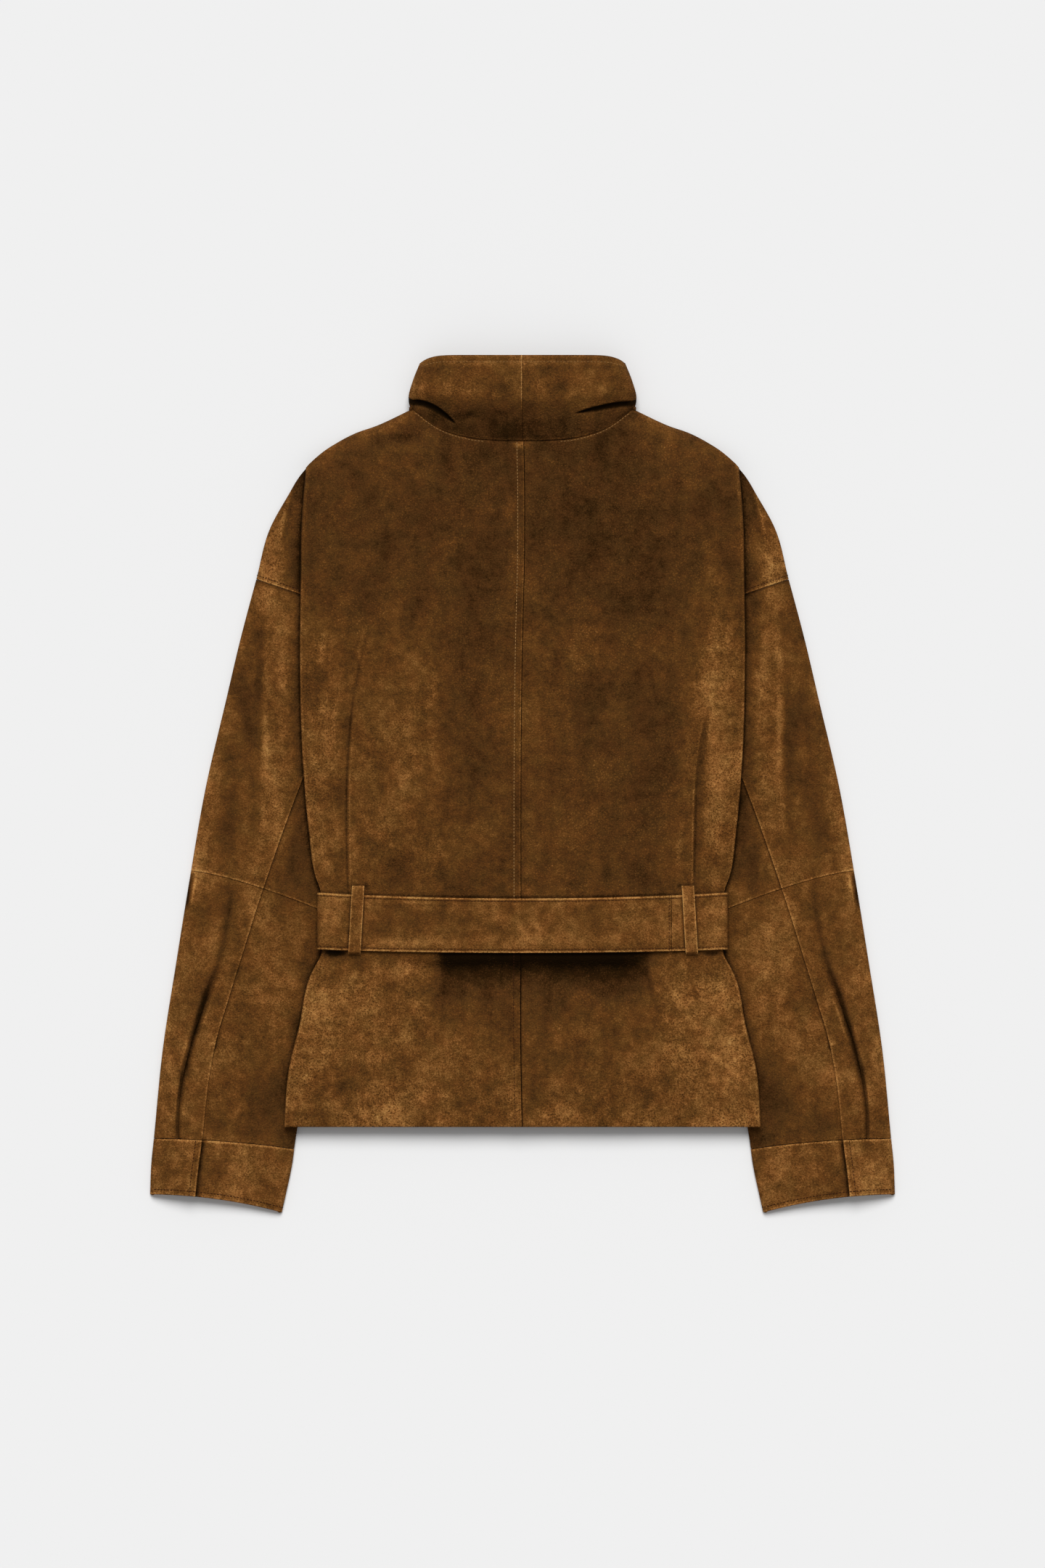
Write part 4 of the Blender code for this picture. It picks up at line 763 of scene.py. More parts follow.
def armhole_y(x):
    """Y of the armhole seam at an x, from the crotch of the arm out to the shoulder's edge."""
    outer_x, inner_x = along(ARM, ARMSCYE_Y, 1), along(ARM, CROTCH_Y, 2)
    return ARMSCYE_Y + (CROTCH_Y - ARMSCYE_Y) * np.clip((outer_x - x) / (outer_x - inner_x), 0.0, 1.0)


def front_height(x, y, side):
    """The front's lower face with the lap at the centre and the room over the buckle."""
    room = belt_band(y) * along(BELT_LIFT, x * side)
    lap = LAP_RISE * ease((LAP_FOOT + 2.0 - x) / 2.0) if side < 0 else 0.0
    return front_low(x, y) + room + lap


def front_sheet():
    """x and y of the part between the centre and the flap, from the hem to the neck seam."""
    y = spaced(HEM_Y, (CROTCH_Y - SEAM / 2.0, 5.0))[:, None]
    lap = spaced(-FRONT_LAP, (LAP_FOOT - 2.4, 5.0), (LAP_FOOT, 0.8))
    share = shares(29)
    foot = np.minimum(along(ARM, y, 2) - RAMP, 0.93 * along(BODY_SIDE, y))
    x = np.hstack([lap + 0.0 * y, LAP_FOOT + share * (foot - LAP_FOOT)])
    neck_x = np.hstack([lap, LAP_FOOT + share * (NECK_X - 2.0 - LAP_FOOT)])
    up = shares(31)[:, None]
    up_x, up_y = x[-1] + up * (neck_x - x[-1]), y[-1] + up * (along(NECK_FRONT, neck_x) - y[-1])
    return np.vstack([x, up_x]), np.vstack([y + 0.0 * x, up_y]), len(y)


def front_flap(foot, y, side):
    """The flap over the sleeve and round the lower half of the side roll to the side seam."""
    middle, height, radius = side_roll(y)
    edge = np.minimum(along(ARM, y, 2), middle - 4.0)
    x = np.hstack([foot, foot + shares(13) * (edge - foot), edge + shares(13) * (middle - edge)])
    flap = grid(x, y, front_height(x, y + 0.0 * x, side), 0.3)
    angle = np.radians(spaced(90.0, (8.0, 12.0)))[1:]
    roll = grid(middle + radius * np.cos(angle), y, height - radius * np.sin(angle), 0.3)
    seam = grid(middle + radius * np.cos(angle[-1]), y, height - SEAM / 2.0, 0.3)
    return np.hstack([flap, roll, seam])


def front_shoulder(start_x, start_y, side):
    """The part between the armhole and the shoulder seam, from the sheet out to the shoulder."""
    up = np.linspace(0.0, 1.0, len(start_x))[:, None]
    share = spaced(0.0, (0.86, 0.04), (0.95, 0.012), (1.0, 0.02))
    end_y = ARMSCYE_Y + SEAM / 2.0 + up * (TUCK_TOP_Y + 4.0 - ARMSCYE_Y)
    x = start_x + share * (along(ARM, end_y, 1) - 0.8 - start_x)
    y = start_y + share * (end_y - start_y)
    to_seam = along(SHOULDER, x[-1]) - 1.0 - y[-1]
    to_armhole = np.maximum(armhole_y(x[0]) + SEAM / 2.0 - y[0], 0.0)
    y[:, 1:] += (up**2 * to_seam + (1.0 - up) ** 2 * to_armhole)[:, 1:]
    return grid(x, y, front_height(x, y, side), 0.45)


suede_front = suede("suede_front")
for side, word in SIDES:
    x, y, rows = front_sheet()
    flap = front_flap(x[:rows, -1:], y[:rows, -1:], side)
    shoulder = front_shoulder(x[rows - 1 :, -1:], y[rows - 1 :, -1:], side)
    dents = soft_lines(x, y, FRONT_FOLDS)
    tone = 0.52 - 0.06 * dents + 0.05 * uneven(x, y, 90.0, 4 + side)
    sheets = [grid(x, y, front_height(x, y, side) + dents, tone), flap, shoulder]
    panel = cloth("front_panel_" + word, "front_" + word, sheets, side, SHELL, suede_front, flip=True)

# Sleeves: each a flattened tube of four pieces, cut across at the elbow and down the back and the underside.
# A knife pleat grows from below the elbow to the cuff, and beside it the back seam opens into a lapped slit.

SLEEVE = (  # armscye, elbow, wrist, cuff's end: y at the outer and inner edge, bow of the line between
    (ARMSCYE_Y, CROTCH_Y, 1), (-77.8, -129, 1.35), (-317.2, -326.6, 2), (-367.3, -383.5, 2),
)
SLEEVE_SEAM = (  # stations from the armscye down, share of the width where the back seam lies
    (0, 0.62), (0.5, 0.51), (1, 0.425), (1.33, 0.39), (1.48, 0.374), (1.6, 0.355), (1.74, 0.346), (2, 0.35),
)
SLEEVE_PLEAT = (  # share of the forearm, share of the width, lift of the pleat's top, step down, depth
    (0, 0.29, 0, 0, 0), (0.15, 0.288, 0.3, 0.8, 0), (0.3, 0.278, 1, 2.4, 0), (0.42, 0.252, 2, 4.1, 0),
    (0.5, 0.226, 2.1, 4.1, 1), (0.6, 0.192, 2.2, 4.1, 3.5), (0.7, 0.172, 2.2, 4.1, 6),
    (0.78, 0.157, 2.2, 4.1, 7.5), (0.88, 0.154, 2, 4.1, 9), (1, 0.17, 1.5, 4.1, 11),
)
PLEAT_STEP = (  # soft step: mm out, share of height; fold: mm out, share of the depth, share of height
    (-6, 0, -4, 0, 0), (-3, 0.05, -0.2, 1, 0), (-2, 0.15, 0.3, 1, 0.06), (-1, 0.32, -0.2, 1, 0.12),
    (0, 0.5, 1, 0, 0.12), (1, 0.68, -0.39, 0, 0.32), (2, 0.85, -0.39, 0, 0.8), (3, 0.95, 1, 0, 1),
    (6, 1, 1.5, 1, 1),
)
HIDDEN_SEAM = 0.72  # share of the width where a sleeve's two pieces meet under the arm
SLIT_START = 0.64  # share of the forearm where the back seam opens into the slit
SLIT_LAP = 9.0  # how far the inner piece runs on under the outer one beside the slit
HALF_SEAM = 0.12  # from the middle of the back seam to each piece's edge
SEAM_EDGE = 2.4  # how far in from the back seam the narrow columns of its edge reach
FOLD_TOP, FOLD_UNDER = 3.0, 3.4  # how far in the folded edge begins on top and ends under the arm
FOLD_Z = EDGE / 2.0  # height of the folded edge's outermost line
SLEEVE_TONE = (  # y, tone
    (-320, 0.58), (-240, 0.6), (-160, 0.6), (-80, 0.57), (0, 0.55), (100, 0.54), (185, 0.53),
)
SLEEVE_FOLDS = (  # x, y of three points, half width, height
    (225, 184, 231, 90, 230, -6, 3.6, 1.3), (229, 60, 233, -5, 238, -84, 4.2, 1.1),
    (240, 165, 244, 80, 243, -10, 8, -1.3), (212, 150, 214, 80, 213, 10, 5, 0.6),
    (262, 0, 264, -40, 262, -84, 9, -0.8), (313, -238, 316, -250, 319, -262, 2.5, 0.9),
    (256, -150, 264, -190, 272, -230, 4, 0.7), (286, -20, 280, 10, 270, 40, 8, 0.6),
)
# Painted light and shade along the sleeve's folds, and painted shade in the pleat and beside its fold
SLEEVE_STREAKS_AND_SHADING = (
    (232, 165, 236.5, 92, 235, 10, 3.2, -0.12), (234, 60, 239, -2, 243, -80, 4, -0.09),
    (226, 186, 229.6, 90, 229, -4, 2.8, 0.11), (228, 62, 231, -8, 235, -84, 3.2, 0.09),
    (295, -76, 298.4, -94, 301.2, -114, 1.7, -0.5), (292, -76, 294.4, -95, 298, -116, 0.9, 0.2),
    (259, -80, 267.5, -140, 283, -190, 2.8, -0.2), (270, -152, 293, -220, 306.5, -290, 3.1, -0.5),
    (275.5, -186, 284, -210, 292, -236, 1, 0.2), (301, -236, 308, -284, 308.5, -334, 1.5, -0.34),
    (290, -196, 303, -240, 313, -330, 1.2, 0.12), (292, -222, 299, -254, 304, -300, 2, 0.1),
    (313, -238, 316, -250, 319, -262, 2.4, 0.12), (222, 150, 243, 60, 262, -40, 12, 0.03),
)
# Patches in the suede, with painted shade close to the body's side and hem
SLEEVE_SPOTS_AND_SHADOWS = (
    (255, -14, 9, 28, -0.05, 8), (285, -116, 10, 18, -0.05, 10), (300, -168, 9, 18, 0.05, 10),
    (225, -302, 12, 14, 0.08), (210, -160, 9, 20, -0.05, 4), (201, 80, 7, 24, 0.04),
    (312, -174, 7, 24, 0.08, 8), (215, -58, 12, 24, 0.05, 8), (270, -306, 30, 14, -0.06),
    (272, -130, 24, 30, -0.05, 8), (240, 40, 8, 40, -0.05, 6), (206, 160, 8, 18, 0.06),
    (286, -40, 8, 60, 0.06, 10), (264, 30, 10, 50, -0.06, 12), (276, -304, 12, 12, -0.1),
    (277.5, -232, 2.6, 1.8, 0.3), (283, 10, 6, 60, 0.08, 10), (242, 60, 6, 30, -0.08, 6),
    (236, -72, 14, 14, 0.08), (264, -108, 24, 14, -0.07), (226, -296, 12, 22, -0.12),
    (208, -292, 5, 20, 0.12), (250, -160, 16, 26, -0.05), (203, -60, 11, 42, -0.2, 6),
    (212, 100, 10, 60, 0.08, -3), (212, 20, 10, 60, 0.06, -3), (278, -20, 8, 90, 0.08, 10),
    (293, -70, 6, 30, 0.08, 8), (262, 100, 5, 60, 0.02, 14), (249, 60, 9, 40, -0.08, 10),
    (262, -30, 9, 28, -0.1, 10), (210, -300, 14, 40, -0.16), (206, -318, 12, 9, -0.2),
    (245, -290, 22, 30, -0.06), (240, -180, 40, 60, 0.05), (212, -100, 12, 34, -0.1),
    (216, 110, 8, 70, 0.14, -5), (224, 5, 11, 75, 0.13, -8), (232, 165, 10, 14, 0.1),
    (250, 75, 6, 62, -0.12, -11), (264, -40, 11, 32, -0.1, -10), (298, -60, 8, 42, 0.07, -10),
    (240, -118, 32, 18, 0.07), (222, -172, 15, 42, 0.06, -8), (232, -268, 17, 32, -0.14),
    (258, -290, 12, 26, 0.05), (318, -230, 7, 60, 0.07, -6),
)


def sleeve_y(top, bottom, down, share):
    """Y of a line across the sleeve, between two stations, at a share of the width from the outer edge."""
    outer, inner, bow = (a + down * (b - a) for a, b in zip(SLEEVE[top], SLEEVE[bottom]))
    return outer + (inner - outer) * share**bow


def sleeve_point(top, bottom, down, share):
    """x and y at a share of the sleeve's width from its outer edge. Both edges lie on the outline."""
    x_out = along(ARM, sleeve_y(top, bottom, down, 0.0 * share), 1)
    x_in = along(ARM, sleeve_y(top, bottom, down, 0.0 * share + 1.0), 2)
    return x_out + share * (x_in - x_out), sleeve_y(top, bottom, down, share)


def sleeve_width(top, bottom, down):
    """Width of the flattened sleeve along each row."""
    outer_x, outer_y = sleeve_point(top, bottom, down, np.zeros_like(down))
    inner_x, inner_y = sleeve_point(top, bottom, down, np.ones_like(down))
    return np.hypot(inner_x - outer_x, inner_y - outer_y)


def pleat(down, width):
    """Shares across and lifts of the step: a trough near the elbow that turns into a knife pleat."""
    place, lift, step, depth = (along(SLEEVE_PLEAT, down, column) for column in (1, 2, 3, 4))
    numbered = [(i, *row) for i, row in enumerate(PLEAT_STEP)]
    at = np.linspace(0.0, 8.0, 33)
    soft_out, soft_height, fold_out, fold_depth, fold_height = (along(numbered, at, c) for c in range(1, 6))
    folded = ease((down - 0.42) / 0.14)
    out = soft_out + folded * (fold_out + fold_depth * depth - soft_out)
    height = soft_height + folded * (fold_height - soft_height)
    return place - out / width, lift + step * (height - 1.0)


def sleeve_tone(x, y):
    """Tone of a sleeve's upper face, with painted shade close to the body."""
    gap = np.maximum(x - along(BODY_SIDE, y), 0.0)
    beside = (0.22 * np.exp(-gap / 9.0) + 0.3 * np.exp(-gap / 1.1)) * ease((y + 322.0) / 90.0)
    return along(SLEEVE_TONE, y) - beside + soft_lines(x, y, SLEEVE_STREAKS_AND_SHADING) + soft_spots(x, y, SLEEVE_SPOTS_AND_SHADOWS)


def folded_edge(top, bottom, down, width, outer):
    """The rounded folded edge and a little of the underside, in order from the top to the underside."""
    inward = np.array([2.4, 1.6, 1.0, 0.5, 0.2, 0.04, 0.0, 0.25, 0.7, 1.3, 2.2, FOLD_UNDER])
    drop = np.array([0.98, 0.93, 0.85, 0.72, 0.52, 0.22, 0.0, -0.4, -0.65, -0.82, -0.95, -1.0])
    share = inward / width if outer else 1.0 - inward / width
    x, y = sleeve_point(top, bottom, down, share)
    above = arm_top(x, y) - FOLD_Z
    return grid(x, y, FOLD_Z + np.where(drop > 0.0, drop * above, drop * FOLD_Z), sleeve_tone(x, y))


def under_arm(levels, down, share, width):
    """The hidden side: flat on the surface, dented upwards here and there."""
    x, y = sleeve_point(*levels, down, share)
    from_fold = np.minimum(share, 1.0 - share) * width
    dents = 1.1 * np.maximum(uneven(x, y, 62.0, 13), 0.0) * ease(from_fold / 14.0)
    from_seam = np.abs(share - HIDDEN_SEAM) * width
    return grid(x, y, dents * ease(from_seam / 8.0), 0.55 - 0.05 * dents)


def sleeve_outer(levels, down):
    """The outer piece: from the back seam over the outer edge and on under the arm to the hidden seam."""
    top, bottom = levels
    width = sleeve_width(top, bottom, down)
    edge = along(SLEEVE_SEAM, top + down) - HALF_SEAM / width
    start, last = edge - SEAM_EDGE / width, FOLD_TOP / width
    ends = edge - np.array([0.0, 0.4, 0.9, 1.5, SEAM_EDGE]) / width
    if bottom == 2:
        step, step_lift = pleat(down, width)
        before = np.hstack([ends, start + shares(15)[:-1] * (step[:, :1] - start)])
        before_lift = step_lift[:, :1] * (1.0 - ease((before - step[:, :1]) * width / 8.0))
        part = np.linspace(1.0, 0.0, 17)[1:-1]
        after = step[:, -1:] * part + (1.0 - part) * last
        share = np.hstack([before, step, after])
        lift = np.hstack([before_lift, step_lift, step_lift[:, -1:] * ease(after / step[:, -1:])])
    else:
        share = np.hstack([ends, start + shares(35) * (last - start)])
        lift = 0.0 * share
    x, y = sleeve_point(top, bottom, down, share)
    from_fold = ease((share * width - FOLD_TOP) / 12.0)
    lift = lift + soft_lines(x, y, SLEEVE_FOLDS) + 0.25 * uneven(x, y, 55.0, 11) * from_fold
    over = grid(x, y, arm_top(x, y) + lift, sleeve_tone(x, y))
    start = FOLD_UNDER / width
    under = under_arm(levels, down, start + shares(9) * (HIDDEN_SEAM - HALF_SEAM / width - start), width)
    return np.hstack([over, folded_edge(top, bottom, down, width, True), under])


def sleeve_inner(levels, down):
    """The inner piece: from the back seam over the inner edge to the hidden seam.

    Beside the slit it runs on under the outer piece.
    """
    top, bottom = levels
    width = sleeve_width(top, bottom, down)
    seam = along(SLEEVE_SEAM, top + down)
    slip = ease((down - SLIT_START) / 0.07) * (bottom == 2)
    sink = ease((down - SLIT_START + 0.08) / 0.08) * (bottom == 2)
    end = seam + HALF_SEAM / width - slip * SLIT_LAP / width
    bend, full = seam + (1.5 - slip) / width, seam + 6.0 / width
    bent = np.hstack([end, end + shares(6) * (bend - end), bend + shares(6) * (full - bend)])
    share = np.hstack([bent, full + shares(31) * (1.0 - FOLD_TOP / width - full)])
    x, y = sleeve_point(top, bottom, down, share)
    sunk = sink * LAP_RISE * ease((full - share) / (full - bend))
    z = arm_top(x, y) - sunk + 0.25 * uneven(x, y, 55.0, 12) * ease((share - full) * width / 12.0)
    over = grid(x, y, z, sleeve_tone(x, y))
    start = 1.0 - FOLD_UNDER / width
    under = under_arm(levels, down, start + shares(4) * (HIDDEN_SEAM + HALF_SEAM / width - start), width)
    return np.hstack([over, folded_edge(top, bottom, down, width, False), under])


UPPER_DOWN = spaced(0.15, (2.0, 0.5), (258.0, 2.6), (260.8, 0.5))[:, None] / 260.9
LOWER_DOWN = spaced(0.1, (2.6, 0.5), (237.0, 2.4), (239.3, 0.6))[:, None] / 239.4
SLEEVE_PIECES = (  # piece, its surface, levels, rows, flat size, area, how pale its back seam is worn
    ("upper_outer", sleeve_outer, (0, 1), UPPER_DOWN, (0.23, 0.27), 0.056, 0.6),
    ("upper_inner", sleeve_inner, (0, 1), UPPER_DOWN, (0.13, 0.27), 0.035, 0.0),
    ("lower_outer", sleeve_outer, (1, 2), LOWER_DOWN, (0.17, 0.25), 0.0395, 0.45),
    ("lower_inner", sleeve_inner, (1, 2), LOWER_DOWN, (0.14, 0.26), 0.0297, 0.0),
)
suede_sleeve = suede("suede_sleeve", 0.45)
for side, word in SIDES:
    for kind, surface, levels, down, flat, area, worn in SLEEVE_PIECES:
        sheet = surface(levels, down)
        outer, upper = surface is sleeve_outer, levels[0] == 0
        if upper:
            rim(sheet, 0, last=True, dip=0.1, worn=0.55)
        else:
            rim(sheet, 0, dip=0.5)
        rim(sheet, 1, dip=0.4, wide=0.8, worn=worn)
        # Painted shade where another edge lies over the piece: by the inner pieces' back seam and slit, and
        # at each top edge
        slit = 0.3 * ease((-226.0 - sheet[..., 1]) / 12.0)
        seam_shade, seam_wide = (0.22, 1.3) if upper else (0.15 + slit, 1.5)
        elbow_shade, elbow_wide = (0.25, 1.6) if upper else (0.1, 0.8)
        if not outer:
            sheet[..., 3] -= seam_shade * bell(from_edge(sheet, 1) / seam_wide)
        sheet[..., 3] -= elbow_shade * bell(from_edge(sheet, 0) / elbow_wide)
        name, node = kind + "_sleeve_" + word, "sleeve_" + kind + "_" + word
        piece = cloth(name, node, [sheet], side, SHELL, suede_sleeve, flip=outer)

# Cuffs: one straight band of two pressed layers round each wrist, 52 mm deep. Its upper end laps over its
# lower end beside the slit, where a hidden snap lifts the suede a little. The lower edge is topstitched.

CUFF_WALL = 2.0
CUFF_STITCH, CUFF_END_STITCH = 5.6, 4.6  # how far in from the lower edge and from the ends it is stitched
CUFF_LAP = 0.345  # share of the width where the cuff's upper end lies
CUFF_SECTION = (  # share of the width, mm added to it, 1 if it follows the arm, height above that
    (CUFF_LAP, 0, 1, 1.6), (0.26, 0, 1, 1.6), (0.14, 0, 1, 1.4), (0.05, 0, 1, 0.8), (0.018, 0, 1, 0.3),
    (0, 0, 0, 2.6), (0, 1.6, 0, 0.6), (0, 4.4, 0, 0), (0.2, 0, 0, 0), (0.5, 0, 0, 0), (0.8, 0, 0, 0),
    (1, -4.4, 0, 0), (1, -1.6, 0, 0.6), (1, 0, 0, 2.6), (0.985, 0, 1, 0.3), (0.93, 0, 1, 0.8),
    (0.8, 0, 1, 0.6), (0.62, 0, 1, 0), (0.41, 0, 1, 0), (CUFF_LAP + 0.006, 0, 1, -1),
    (CUFF_LAP - 0.02, 0, 1, -2), (0.2, 0, 1, -2),
)
CUFF_STEPS = (0, 14, 14, 10, 5, 6, 4, 4, 6, 6, 6, 6, 4, 4, 5, 6, 12, 14, 14, 8, 5, 6)  # steps up to each row
UPPER_END, LOWER_END = 44, 78  # columns before the first and past the second lie on the cuff's upper face
SNAP_BULGE = ((309, -341, 4.5, 4.5, 0.9),)
# Patches in the suede, with painted shade along the lap's edge and at the inner edge
CUFF_SPOTS_AND_SHADOWS = (
    (213, -340, 7, 14, -0.07), (298, -352, 12, 8, 0.06), (268, -326, 8, 7, -0.06), (318, -356, 12, 9, 0.05),
    (310, -354, 14, 6, 0.08), (240, -368, 26, 5, 0.06, 12), (292, -341, 2.6, 26, -0.07, 9),
    (212, -330, 8, 12, -0.12), (298, -334, 8, 5, 0.08), (309, -341, 5, 4, 0.12), (240, -350, 16, 10, 0.06),
    (272, -345, 9, 14, -0.06), (318, -350, 10, 12, -0.05),
)


def cuff(down):
    """The band: x and y at shares of the wrist's width, heights from the section, its rows going down."""
    width = sleeve_width(2, 3, down)
    at = np.hstack([0.0, *[i - 1 + shares(n) for i, n in enumerate(CUFF_STEPS) if n]])
    place, shift, on_arm, lift = (np.interp(at, range(22), column) for column in zip(*CUFF_SECTION))
    x, y = sleeve_point(2, 3, down, place + shift / width)
    bulge = soft_spots(x, y, SNAP_BULGE) * (at < 4) + 0.2 * uneven(x, y, 26.0, 21) * (on_arm > 0.9)
    z = np.maximum(on_arm * arm_top(x, y) + lift + bulge, 0.0)
    # Painted shadow cast by the cuff's upper end on the layer beside it
    beside = np.exp(-np.maximum(18.9 - at, 0.0) / 0.25) * (at > 10.0)
    return grid(x, y, z, 0.64 + soft_spots(x, y, CUFF_SPOTS_AND_SHADOWS) - 0.45 * beside)


CUFF_DOWN = spaced(0.3, (1.8, 0.5), (4.2, 0.8), (48.0, 2.3), (51.0, 0.6))[:, None] / 51.0
for side, word in SIDES:
    sheet = cuff(CUFF_DOWN)
    rim(sheet, 0, dip=0.3, worn=0.65)
    rim(sheet, 0, last=True, dip=0.5, worn=0.5)
    rim(sheet, 1, dip=0.3, worn=0.6)
    band = cloth("cuff_band_" + word, "cuff_" + word, [sheet], side, CUFF_WALL, suede_sleeve, flip=True)
    upper = sheet[::-1, :UPPER_END].transpose(1, 0, 2)
    lower = sheet[::-1, LOWER_END:-12].transpose(1, 0, 2)
    lines = [inset_line(end, CUFF_END_STITCH) for end in (upper, lower)]
    lines.append(inset_line(sheet[:, :UPPER_END], CUFF_STITCH))
    rows = [stitches("cuff_stitches_" + word, lines, side, thread_dark, thick=0.9)]

# Collar: a high funnel in two halves joined at the centre back, each of two layers of suede turned at the
# top edge. It has slumped a little over the neck seam, in a pinched fold at each side.

COLLAR_CORNER_Y = 376.4  # where the top edge turns down at the side
COLLAR_TOP_Y = 383.4
COLLAR_WIDE = 76.6  # from the neck seam to the top edge
COLLAR_SINK = 46.0  # how much lower the hidden front of the top edge hangs
COLLAR_STITCH = 6.2  # how far in from the top edge the collar is stitched
COLLAR_SEAM_Y = 343.0  # above the slumped fold the centre seam is stitched as well
COLLAR_SIDE = (  # share of the collar's height, x of its side
    (0, 99.9), (0.1, 101.4), (0.22, 102), (0.6, 98.4), (1, 92),
)
COLLAR_HEIGHT = (  # share of the collar's height, how far it stands above its seam at the back
    (0, 0), (0.2, 2.5), (0.5, 8), (0.75, 8.5), (1, 6),
)
COLLAR_FRONT = ((0.72, 0), (0.9, 0.2), (0.97, 2.2), (1, 5))  # share of the half width, height of the front
# Darker towards the neck seam: painted shade on the collar's lower part, which faces away from the lamp
COLLAR_TONE = (  # y, tone
    (306, 0.26), (325, 0.33), (338, 0.42), (350, 0.52), (384, 0.56),
)
COLLAR_FOLDS = (  # x, y of three points, half width, height
    (-96, 352, -66, 345, -44, 334, 6, 1.2), (96, 352, 64, 348, 30, 340, 6, 1.2),
    (-40, 328, 0, 333, 40, 330, 6, -0.8), (-60, 318, 0, 316, 60, 320, 5, 0.5),
)
COLLAR_PINCH = (  # x, y of three points of the fold's edge, how far it dips below, how wide the dip is
    (-104, 343, -78, 338.8, -54, 315.6, 4, 4.2), (104, 343, 74, 339.8, 40, 329, 3.6, 3.6),
)
# Painted shade along the trough across the left of the collar, and a lighter line on the right
COLLAR_STREAKS_AND_SHADING = (
    (-62, 330, -40, 333, -10, 330, 3, -0.05), (20, 352, 30, 358, 42, 364, 2, 0.05),
)
# Patches in the suede, with painted shade under the left pinched fold and a painted highlight above it
COLLAR_SPOTS_AND_SHADING = (
    (66, 376, 20, 7, -0.07), (-20, 379, 22, 5, -0.06), (-20, 381, 40, 3, -0.08), (50, 381, 40, 3, -0.1),
    (-14, 372, 16, 8, -0.07), (62, 364, 20, 10, -0.08), (-50, 348, 34, 5, 0.08), (-54, 330, 26, 4, -0.12),
    (8, 346, 30, 6, 0.05), (-50, 354, 17, 9, 0.1), (-82, 368, 14, 8, -0.05), (48, 346, 14, 8, 0.06, 10),
    (4, 377, 9, 6, 0.1), (-95, 358, 6, 18, 0.1, 6), (96, 360, 6, 18, 0.1, -6), (50, 373, 26, 4, -0.05),
    (0, 317, 34, 9, -0.08), (-76, 329, 10, 4, -0.1, -30), (76, 330, 14, 4, 0.04, 25),
)


def pinch(x, y, rows):
    """A fold over the cloth below: a sharp edge on a curve, then a hollow that closes downwards."""
    total = np.zeros(np.broadcast(x, y).shape)
    for x0, y0, x1, y1, x2, y2, depth, wide in rows:
        below = bowed(x, x0, x1, x2, y0, y1, y2) - y
        fade = ease((x2 - x) / (x2 - x1) / 0.9) * (np.abs(x) > 30.0) * (x * x0 > 0.0)
        open_to = 0.6 + wide * fade
        closing = 1.0 - ease((below - 0.6 * open_to) / open_to)
        total = total - depth * ease(2.0 * fade) * ease(below / 0.7) * closing
    return total


def collar_half(side):
    """From the centre back out round the side and in over the front, in rows from the seam to the top."""
    rows = spaced(0.0, (1.2, 0.4), (10.0, 1.5), (44.0, 0.7), (72.0, 1.5), (COLLAR_WIDE, 0.5))
    v = rows[:, None] / COLLAR_WIDE
    share = spaced(0.0, (1.6, 0.4), (38.0, 2.0), (94.9, 1.2)) / NECK_X
    wide = along(COLLAR_SIDE, v)
    seam_x = NECK_X * share
    seam_y = along(NECK_BACK, seam_x)
    x = np.maximum(wide * share, SEAM / 2.0)
    corner = (COLLAR_TOP_Y - COLLAR_CORNER_Y) * np.clip((share - 0.5) / 0.5, 0.0, 1.0) ** 5
    y = seam_y + SEAM + v * (COLLAR_TOP_Y - corner - seam_y - SEAM)
    flat_z = back_top(seam_x, seam_y) + along(COLLAR_HEIGHT, v)
    low_z = 6.0 * (1.0 - v) ** 2
    middle = 0.5 * (low_z + flat_z[:, -1:])
    from_side = np.clip((wide - x) / 16.0, 0.0, 1.0)
    round_z = middle + (flat_z - middle) * np.sqrt(1.0 - (1.0 - from_side) ** 2)
    folds = soft_lines(side * x, y, COLLAR_FOLDS) + 0.3 * uneven(side * x, y, 45.0, 5) * ease(v / 0.1)
    dip = pinch(side * x, y, COLLAR_PINCH)
    z = flat_z + ease((share - 0.5) / 0.3) * (round_z - flat_z) + folds
    z = z + dip * np.minimum(1.0, (NECK_X - x) / 6.0)
    marks = soft_lines(side * x, y, COLLAR_STREAKS_AND_SHADING) + soft_spots(side * x, y, COLLAR_SPOTS_AND_SHADING)
    below_top = COLLAR_TOP_Y - y
    # Painted light and shade: a light line and a dark one below the top edge, as on a ridge, and shade in the
    # pinched hollows
    painted_ridge = 0.06 * bell((below_top - 7.0) / 2.5) - 0.05 * bell((below_top - 11.5) / 1.6)
    back = grid(x, y, z, along(COLLAR_TONE, y) + marks + painted_ridge + 0.16 * dip)
    side_y = NECK_Y + v * (COLLAR_CORNER_Y - NECK_Y)
    edge = grid(wide, side_y, 0.45 * flat_z[:, -1:] + 0.55 * low_z, back[:, -1:, 3])

    # The hidden front half lies on the surface, the left one over the right one
    reach = np.hstack([0.995, 0.985, spaced(0.97, (0.2, 0.045)), spaced(0.15, (-FRONT_LAP / NECK_X, 0.05))])
    foot = along(NECK_FRONT, NECK_X * reach) + 4.0 * SEAM
    top = COLLAR_CORNER_Y - COLLAR_SINK * np.sqrt(1.0 - reach**2)
    x = wide * reach
    x[:, -1] = -FRONT_LAP
    z = low_z * ease((np.abs(reach) - 0.55) / 0.4) + np.interp(reach, *np.array(COLLAR_FRONT).T)
    if side < 0:
        z = z + (DOUBLE + 0.5) * ease((0.42 - reach) / 0.2)
    front = grid(x, foot + v * (top - foot), z, 0.45)
    return np.hstack([back, edge, front]), back


